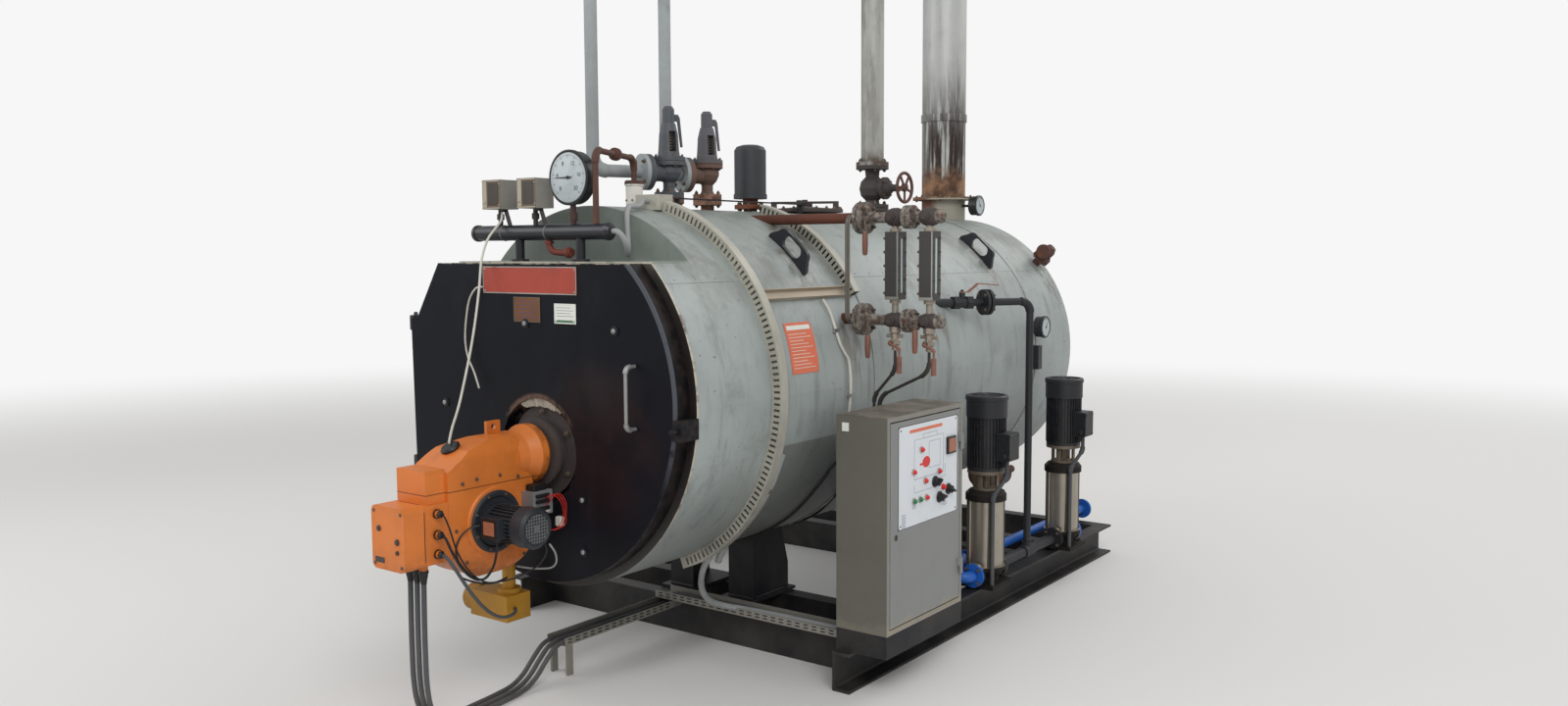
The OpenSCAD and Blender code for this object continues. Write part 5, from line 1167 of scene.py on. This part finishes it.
def make_header_details():
    ties = Piece("header_ties")
    for x in (-0.3, -0.06):
        ties.turned(at(x - 0.003, 0.06, 1.7), X, [(29.6, 0), (30.6, 1), (30.6, 5), (29.6, 6)], 28)
    ties.done("tube_grey", "cable_grey")
    windows = Piece("switch_windows")
    for x in SWITCH_X:
        windows.box(at(x - 0.018, 0.0135, 1.804), at(x + 0.04, 0.015, 1.888), 0.5)
    windows.done("window_brown", "switch_grey")
    frames = Piece("switch_trim")
    for x in SWITCH_X:
        frames.box(at(x - 0.046, 0.013, 1.796), at(x - 0.024, 0.015, 1.894), 1)
        for z in (1.8955, 1.7935):
            frames.box(at(x - 0.05, 0.0125, z - 0.0025), at(x + 0.05, 0.015, z + 0.0025), 0.8)
        for z in (1.806, 1.884):
            frames.turned(at(x + 0.0455, 0.015, z), -Y, [(3.2, 0), (3, 1.6), (1.5, 2.2)], 8)
        frames.turned(at(x - 0.035, 0.013, 1.815), -Y, [(5, 0), (5, 3), (3, 4)], 12)
    frames.done("switch_trim", "switch_grey")
    stub = Piece("header_drain")
    stub.wire([(-60, 60, 1674), (-58, 60, 1650), (-45, 62, 1632), (-20, 66, 1626), (30, 70, 1625)], 12, 12)
    stub.turned(at(0.026, 0.07, 1.625), X, [(20, 0), (20, 12), (16, 14), (16, 22)])
    stub.turned(at(-0.06, 0.06, 1.668), -Z, [(18, 0), (18, 10)], 6)
    stub.done("rust_red", "rusty_pipe")
    pot = Piece("pot_screws")
    for deg in (200, 250, 300, 350):
        c, s = math.cos(math.radians(deg)), math.sin(math.radians(deg))
        for z, r in ((1.828, 0.0332), (1.893, 0.0372)):
            pot.turned(at(r * c, 0.455 + r * s, z), (c, s, 0), [(3.8, 0), (3.8, 3), (2, 4)], 8)
    pot.done("bolt_steel", "galvanised")


def make_gauge_details():
    y = GAUGE_Y
    nuts, glass, trim = Piece("gauge_nuts"), Piece("gauge_glasses"), Piece("gauge_trim")
    for x in COLUMN_X:
        for i in range(5):
            z = 1.465 + 0.0525 * i
            for dy in (-0.022, 0.022):
                nuts.bolt((x - 0.03, y + dy, z), -X, 13)
                nuts.bolt((x + 0.03, y + dy, z), X, 10, 4)
        glass.box((x + 0.0205, y - 0.0105, 1.4655), (x + 0.0265, y + 0.0105, 1.6745), 1)
        trim.box((x + 0.0225, y - 0.0315, 1.442), (x + 0.0285, y - 0.03, 1.698), 0.4)
        trim.box((x - 0.03, y - 0.031, 1.4405), (x + 0.03, y - 0.03, 1.452), 0.4)
    nuts.done("bolt_steel", "level_gauge")
    glass.done("glass_strip", "level_gauge")
    trim.done("bright_steel", "level_gauge")

    bodies, bright = Piece("column_valves"), Piece("cock_bodies")
    for x in COLUMN_X:
        for z, r in zip(ARM_Z, (36, 32)):
            bodies.turned((x - 0.036, y, z), X,
                          [(24, 0), (r * 0.86, 10), (r, 24), (r, 48), (r * 0.86, 62), (24, 72)], 20)
            bodies.turned((x, y - 0.028, z), -Y, [(19, 0), (19, 16), (13, 18), (13, 26)], 6)
        bright.turned((x, y, 1.34), -Z, [(17, 0), (24, 4), (24, 26), (17, 32), (17, 52), (21, 56), (21, 72),
                                         (14, 78)], 8)
        bright.turned((x, y - 0.02, 1.275), -Y, [(12, 0), (12, 10), (9, 12)], 6)
        bright.turned((x - 0.036, y, 1.3), X, [(7, 0), (7, 72)], 10)
    bodies.done("cast_body")
    bright.done("cock_metal", "galvanised")

    levers, grips = Piece("stop_cock_levers"), Piece("stop_cock_grips")
    y = GAUGE_Y - 0.03
    for x, top, low in ((0.777, 1.755, 1.61), (0.79, 1.36, 1.213), (1, 1.345, 1.24)):
        levers.turned((x, y, top - 0.006), -Y, [(13, 0), (13, 20), (9, 22)], 8)
        levers.hose([(x, y - 0.018, top - 0.006), (x + 0.004, y - 0.026, top - 0.022),
                     (x + 0.006, y - 0.028, top - 0.05)], 4.8)
        grips.turned((x + 0.006, y - 0.028, low + 0.09), -Z,
                     [(8, 0), (11, 6), (11.5, 50), (9.5, 84), (6, 90)], 14)
    levers.done("bolt_steel", "cast_body")
    grips.done("lever_orange")
    tubes = Piece("column_tubes")
    for x, y, r in ((0.708, GAUGE_Y - 0.072, 7), (0.722, GAUGE_Y - 0.078, 4)):
        tubes.hose([(x, y + dy, z) for dy, z in (
            (0.022, 1.762), (0.006, 1.748), (0, 1.72), (0, 1.56), (0, 1.395), (0.006, 1.366),
            (0.022, 1.352))], r, 10)
    tubes.done("tube_grey", "pale_pipe")


def panel_point(u, v, lift=0):
    """Point on the cabinet's white panel, across and up."""
    return Vector((CAB_FACE + 0.002 + lift / 1000, PANEL_Y + u / 1000, PANEL_Z + v / 1000))


def panel_box(piece, u0, v0, u1, v1, low, high, bevel=0):
    piece.box(panel_point(u0, v0, low), panel_point(u1, v1, high), bevel)


def panel_line(piece, u0, v0, u1, v1, width=1.1):
    """Thin stroke on the panel."""
    if abs(u1 - u0) > abs(v1 - v0):
        panel_box(piece, min(u0, u1), v0 - width / 2, max(u0, u1), v0 + width / 2, 0, 0.3)
    else:
        panel_box(piece, u0 - width / 2, min(v0, v1), u0 + width / 2, max(v0, v1), 0, 0.3)


def make_panel_details():
    lines = Piece("panel_lines")
    for line in (((110, 170), (110, 318), (330, 318), (330, 170), (110, 170)),
                 ((175, 318), (175, 334), (280, 334), (280, 318)),
                 ((220, 200), (220, 300), (305, 300), (305, 200), (220, 200)),
                 ((110, 150), (110, 120), (250, 120)), ((345, 200), (345, 150), (280, 150))):
        for start, end in zip(line, line[1:]):
            panel_line(lines, *start, *end)
    for u, v, count in ((95, 75, 3), (20, 50, 5), (20, 20, 4), (330, 50, 3)):
        for k in range(count):
            panel_line(lines, u, v - 6 * k, u + 30 - 4 * (k % 2), v - 6 * k, 1.4)
    lines.done("ink_blue", "panel_white", "cabinet_door")
    strip = Piece("panel_plain_strip")
    panel_box(strip, 75, 347, 320, 359, 0, 0.5)
    strip.done("plate_orange", "panel_white", "cabinet_door")
    red = Piece("panel_symbol")
    red.loft([[panel_point(199 + 29 * c, 226 + 21 * s, lift) for c, s in circle(28)] for lift in (0, 0.6)])
    panel_line(red, 150, 221, 180, 221, 8)
    red.done("lamp_red", "panel_white", "cabinet_door")

    colours = {"lamp_red": [(161, 277), (104, 200), (190, 155), (296, 176), (200, 90)],
               "lamp_green": [(152, 90), (108, 90)]}
    rims = Piece("panel_lamp_rims")
    for colour, spots in colours.items():
        lamps = Piece("panel_" + colour)
        for u, v in spots:
            lamps.turned(panel_point(u, v), X, [(9.5, 0), (9.5, 6), (8, 11), (5, 14), (1.5, 15)], 20)
            rims.turned(panel_point(u, v), X, [(13, 0), (13, 3), (11, 4.5), (9.5, 4.5)], 20)
        lamps.done(colour, "gauge_black", "cabinet_door")
    rims.done("bright_steel", "gauge_black", "cabinet_door")

    knobs = Piece("panel_knobs")
    for u, v, turn in ((265, 140, 0.6), (300, 75, 0.2), (370, 95, -0.5)):
        p = panel_point(u, v)
        knobs.turned(p, X, [(22, 0), (22, 4), (20.5, 6), (16.5, 7), (15.5, 12), (14.5, 20)], 24)
        c, s = math.cos(turn), math.sin(turn)
        knobs.loft([[p + Vector((x, i * l * c - j * w * s, i * l * s + j * w * c))
                     for i, j in ((1, 1), (-1, 1), (-1, -1), (1, -1))]
                    for x, w, l in ((0.012, 0.005, 0.0175), (0.028, 0.0038, 0.0165), (0.03, 0.0028, 0.015))])
    panel_box(knobs, 352, 232, 420, 300, 0, 9, 2)
    knobs.done("wire_black", "gauge_black", "cabinet_door")
    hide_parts("panel_controls")
    meter = Piece("panel_meter")
    panel_box(meter, 360, 240, 412, 292, 8.8, 10.2, 0.5)
    meter.done("plate_copper", "gauge_black", "cabinet_door")
    stop = Piece("panel_red_button")
    stop.turned(panel_point(327, 110), X, [(12, 0), (12, 5), (9, 7), (9, 13), (6, 15)], 20)
    stop.done("lamp_red", "gauge_black", "cabinet_door")


def make_cabinet_details():
    seal = Piece("door_seal")
    y, z, inset = CAB_Y, CAB_Z, 0.018
    for low, high in border(y + inset, z + inset, y + CAB_W - inset, z + CAB_H - inset, 0.003):
        seal.box((CAB_FACE - 0.016, *low), (CAB_FACE - 0.009, *high))
    seal.done("gasket", "cabinet_grey")
    lock = Piece("cabinet_lock")
    lock.turned((CAB_FACE - 0.0005, CAB_Y + 0.062, 0.588), X, [(11, 0), (11, 2), (9, 3)], 20)
    lock.done("bolt_steel", "cabinet_grey", "cabinet_door")
    block("cabinet_lock_slot", (CAB_FACE + 0.0024, CAB_Y + 0.059, 0.578),
          (CAB_FACE + 0.003, CAB_Y + 0.065, 0.597), 0.2, "gasket", "cabinet_grey", "cabinet_door")
    rim = Piece("panel_shadow_rim")
    rim.loft([[panel_point(u, v, lift) for u, v in ((-2, -2), (442, -2), (442, 378), (-2, 378))]
              for lift in (-1.9, -1.2)])
    rim.done("gasket", "panel_white", "cabinet_door")
    screws = Piece("panel_screws")
    for u in (12, 428):
        for v in (12, 364):
            screws.turned(panel_point(u, v), X, [(3.8, 0), (3.4, 1.2), (1.5, 1.8)], 10)
    screws.done("bolt_steel", "cabinet_grey", "cabinet_door")
    block("cabinet_tag", (0.872, CAB_Y - 0.0012, 0.972), (0.902, CAB_Y, 1.004), 0.5,
          "face_white", "panel_white")


def make_pump_details():
    nuts, caps, rods = Piece("pump_nuts"), Piece("pump_cap_slots"), Piece("pump_tie_rods")
    boxes, straps = Piece("pump_box_lids"), Piece("pump_strap_screws")
    for y in PUMP_Y:
        for c, s in circle(4, phase=0.5):
            nuts.bolt((PUMP_X + 0.08 * c, y + 0.08 * s, 0.5585), Z, 15)
            nuts.bolt((PUMP_X + 0.068 * c, y + 0.068 * s, 0.679), Z, 10)
            rods.turned((PUMP_X + 0.0815 * c, y + 0.0815 * s, 0.238), Z, [(6.5, 0), (6.5, 296)], 12)
            for x, dy in ((-0.07, -0.08), (0.07, -0.08), (-0.07, 0.08), (0.055, 0.084)):
                nuts.bolt((PUMP_X + x, y + dy, 0.168), Z, 14)
            for z in (0.262, 0.385, 0.51):
                straps.bolt((PUMP_X + 0.078 * c, y + 0.078 * s, z), (c, s, 0), 9)
        for c, s in circle(18):
            side = Vector((-s, c, 0)) * 0.003
            rings = []
            for r in (0.026, 0.068):
                p = Vector((PUMP_X, y, 0.9905)) + Vector((c, s, 0)) * r
                rings.append([p - side, p + side, p + side + Z * 0.0022, p - side + Z * 0.0022])
            caps.loft(rings)
        boxes.box((PUMP_X + 0.13, y - 0.047, 0.718), (PUMP_X + 0.1345, y + 0.047, 0.832), 2)
        boxes.turned((PUMP_X + 0.11, y - 0.05, 0.74), -Y, [(13, 0), (13, 10), (10, 14)], 6)
        for dy in (-0.038, 0.038):
            for z in (0.728, 0.822):
                boxes.turned((PUMP_X + 0.1345, y + dy, z), X, SCREW, 8)
    nuts.done("bolt_steel", "cast_body")
    caps.done("motor_black")
    rods.done("plug_dark", "cast_body")
    boxes.done("motor_black")
    straps.done("bright_steel", "pump_steel")
    lever = Piece("suction_valve_lever").box(at(0.735, 1.56, 0.268), at(0.755, 1.655, 0.274), 2)
    lever.turned(at(0.745, 1.64, 0.232), Z, [(16, 0), (16, 20), (10, 22), (10, 40)], 12)
    lever.done("lamp_red", "lever_orange")


def make_tray_slots():
    """Dark slots along the outer sides and upper edges of the two floor trays."""
    slots = Piece("tray_slots")
    thin, long, high = 0.0006, 0.022, 0.0045
    for k in range(24):
        x = -0.14 + 0.04 * k
        for z in (0.158, 0.17):
            for y0, y1 in ((0.72 - thin, 0.72), (0.82, 0.82 + thin)):
                slots.box(at(x, y0, z), at(x + long, y1, z + high))
    for k in range(15):
        y = 0.115 + 0.04 * k
        for z in (0.128, 0.14):
            for x0, x1 in ((-0.16 - thin, -0.16), (-0.06, -0.06 + thin)):
                slots.box(at(x0, y, z), at(x1, y + long, z + high))
    slots.done("gasket", "galvanised")


def make_skid_details():
    """Cables that lie in the floor tray, and weld beads at the feet."""
    cables = Piece("tray_cables")
    random.seed(3)
    for k, (y, r) in enumerate(((0.742, 8.5), (0.764, 8.5), (0.786, 8.5), (0.803, 6))):
        line = [at(-0.095 + 0.1 * i, y + 0.004 * math.sin(1.3 * i + k), 0.1535 + r / 1000) for i in range(10)]
        cables.tube(smooth_line(line), r, 8)
    cables.done("cable_grey")
    welds = Piece("foot_welds")
    for y in (0.9, 2.4):
        for side in (-1, 1):
            welds.tube([at(side * (0.1 + 0.013 * i), y - 0.001 + 0.0015 * random.random(), 0.1635)
                        for i in range(11)], 4.5, 6)
            welds.tube([at(side * 0.2315, y + 0.02 + 0.02 * i, 0.1635 + 0.001 * random.random())
                        for i in range(11)], 4.5, 6)
    welds.done("skid_paint")


make_finishes()
paint_nodes()
make_studio()
make_cords()
make_flange_bolts()
make_springs()
make_shell_details()
make_rear_duct()
make_shell_wires()
make_duct_conduits()
make_door_details()
make_burner_details()
make_dials()
make_header_details()
make_gauge_details()
make_panel_details()
make_cabinet_details()
make_pump_details()
make_tray_slots()
make_skid_details()
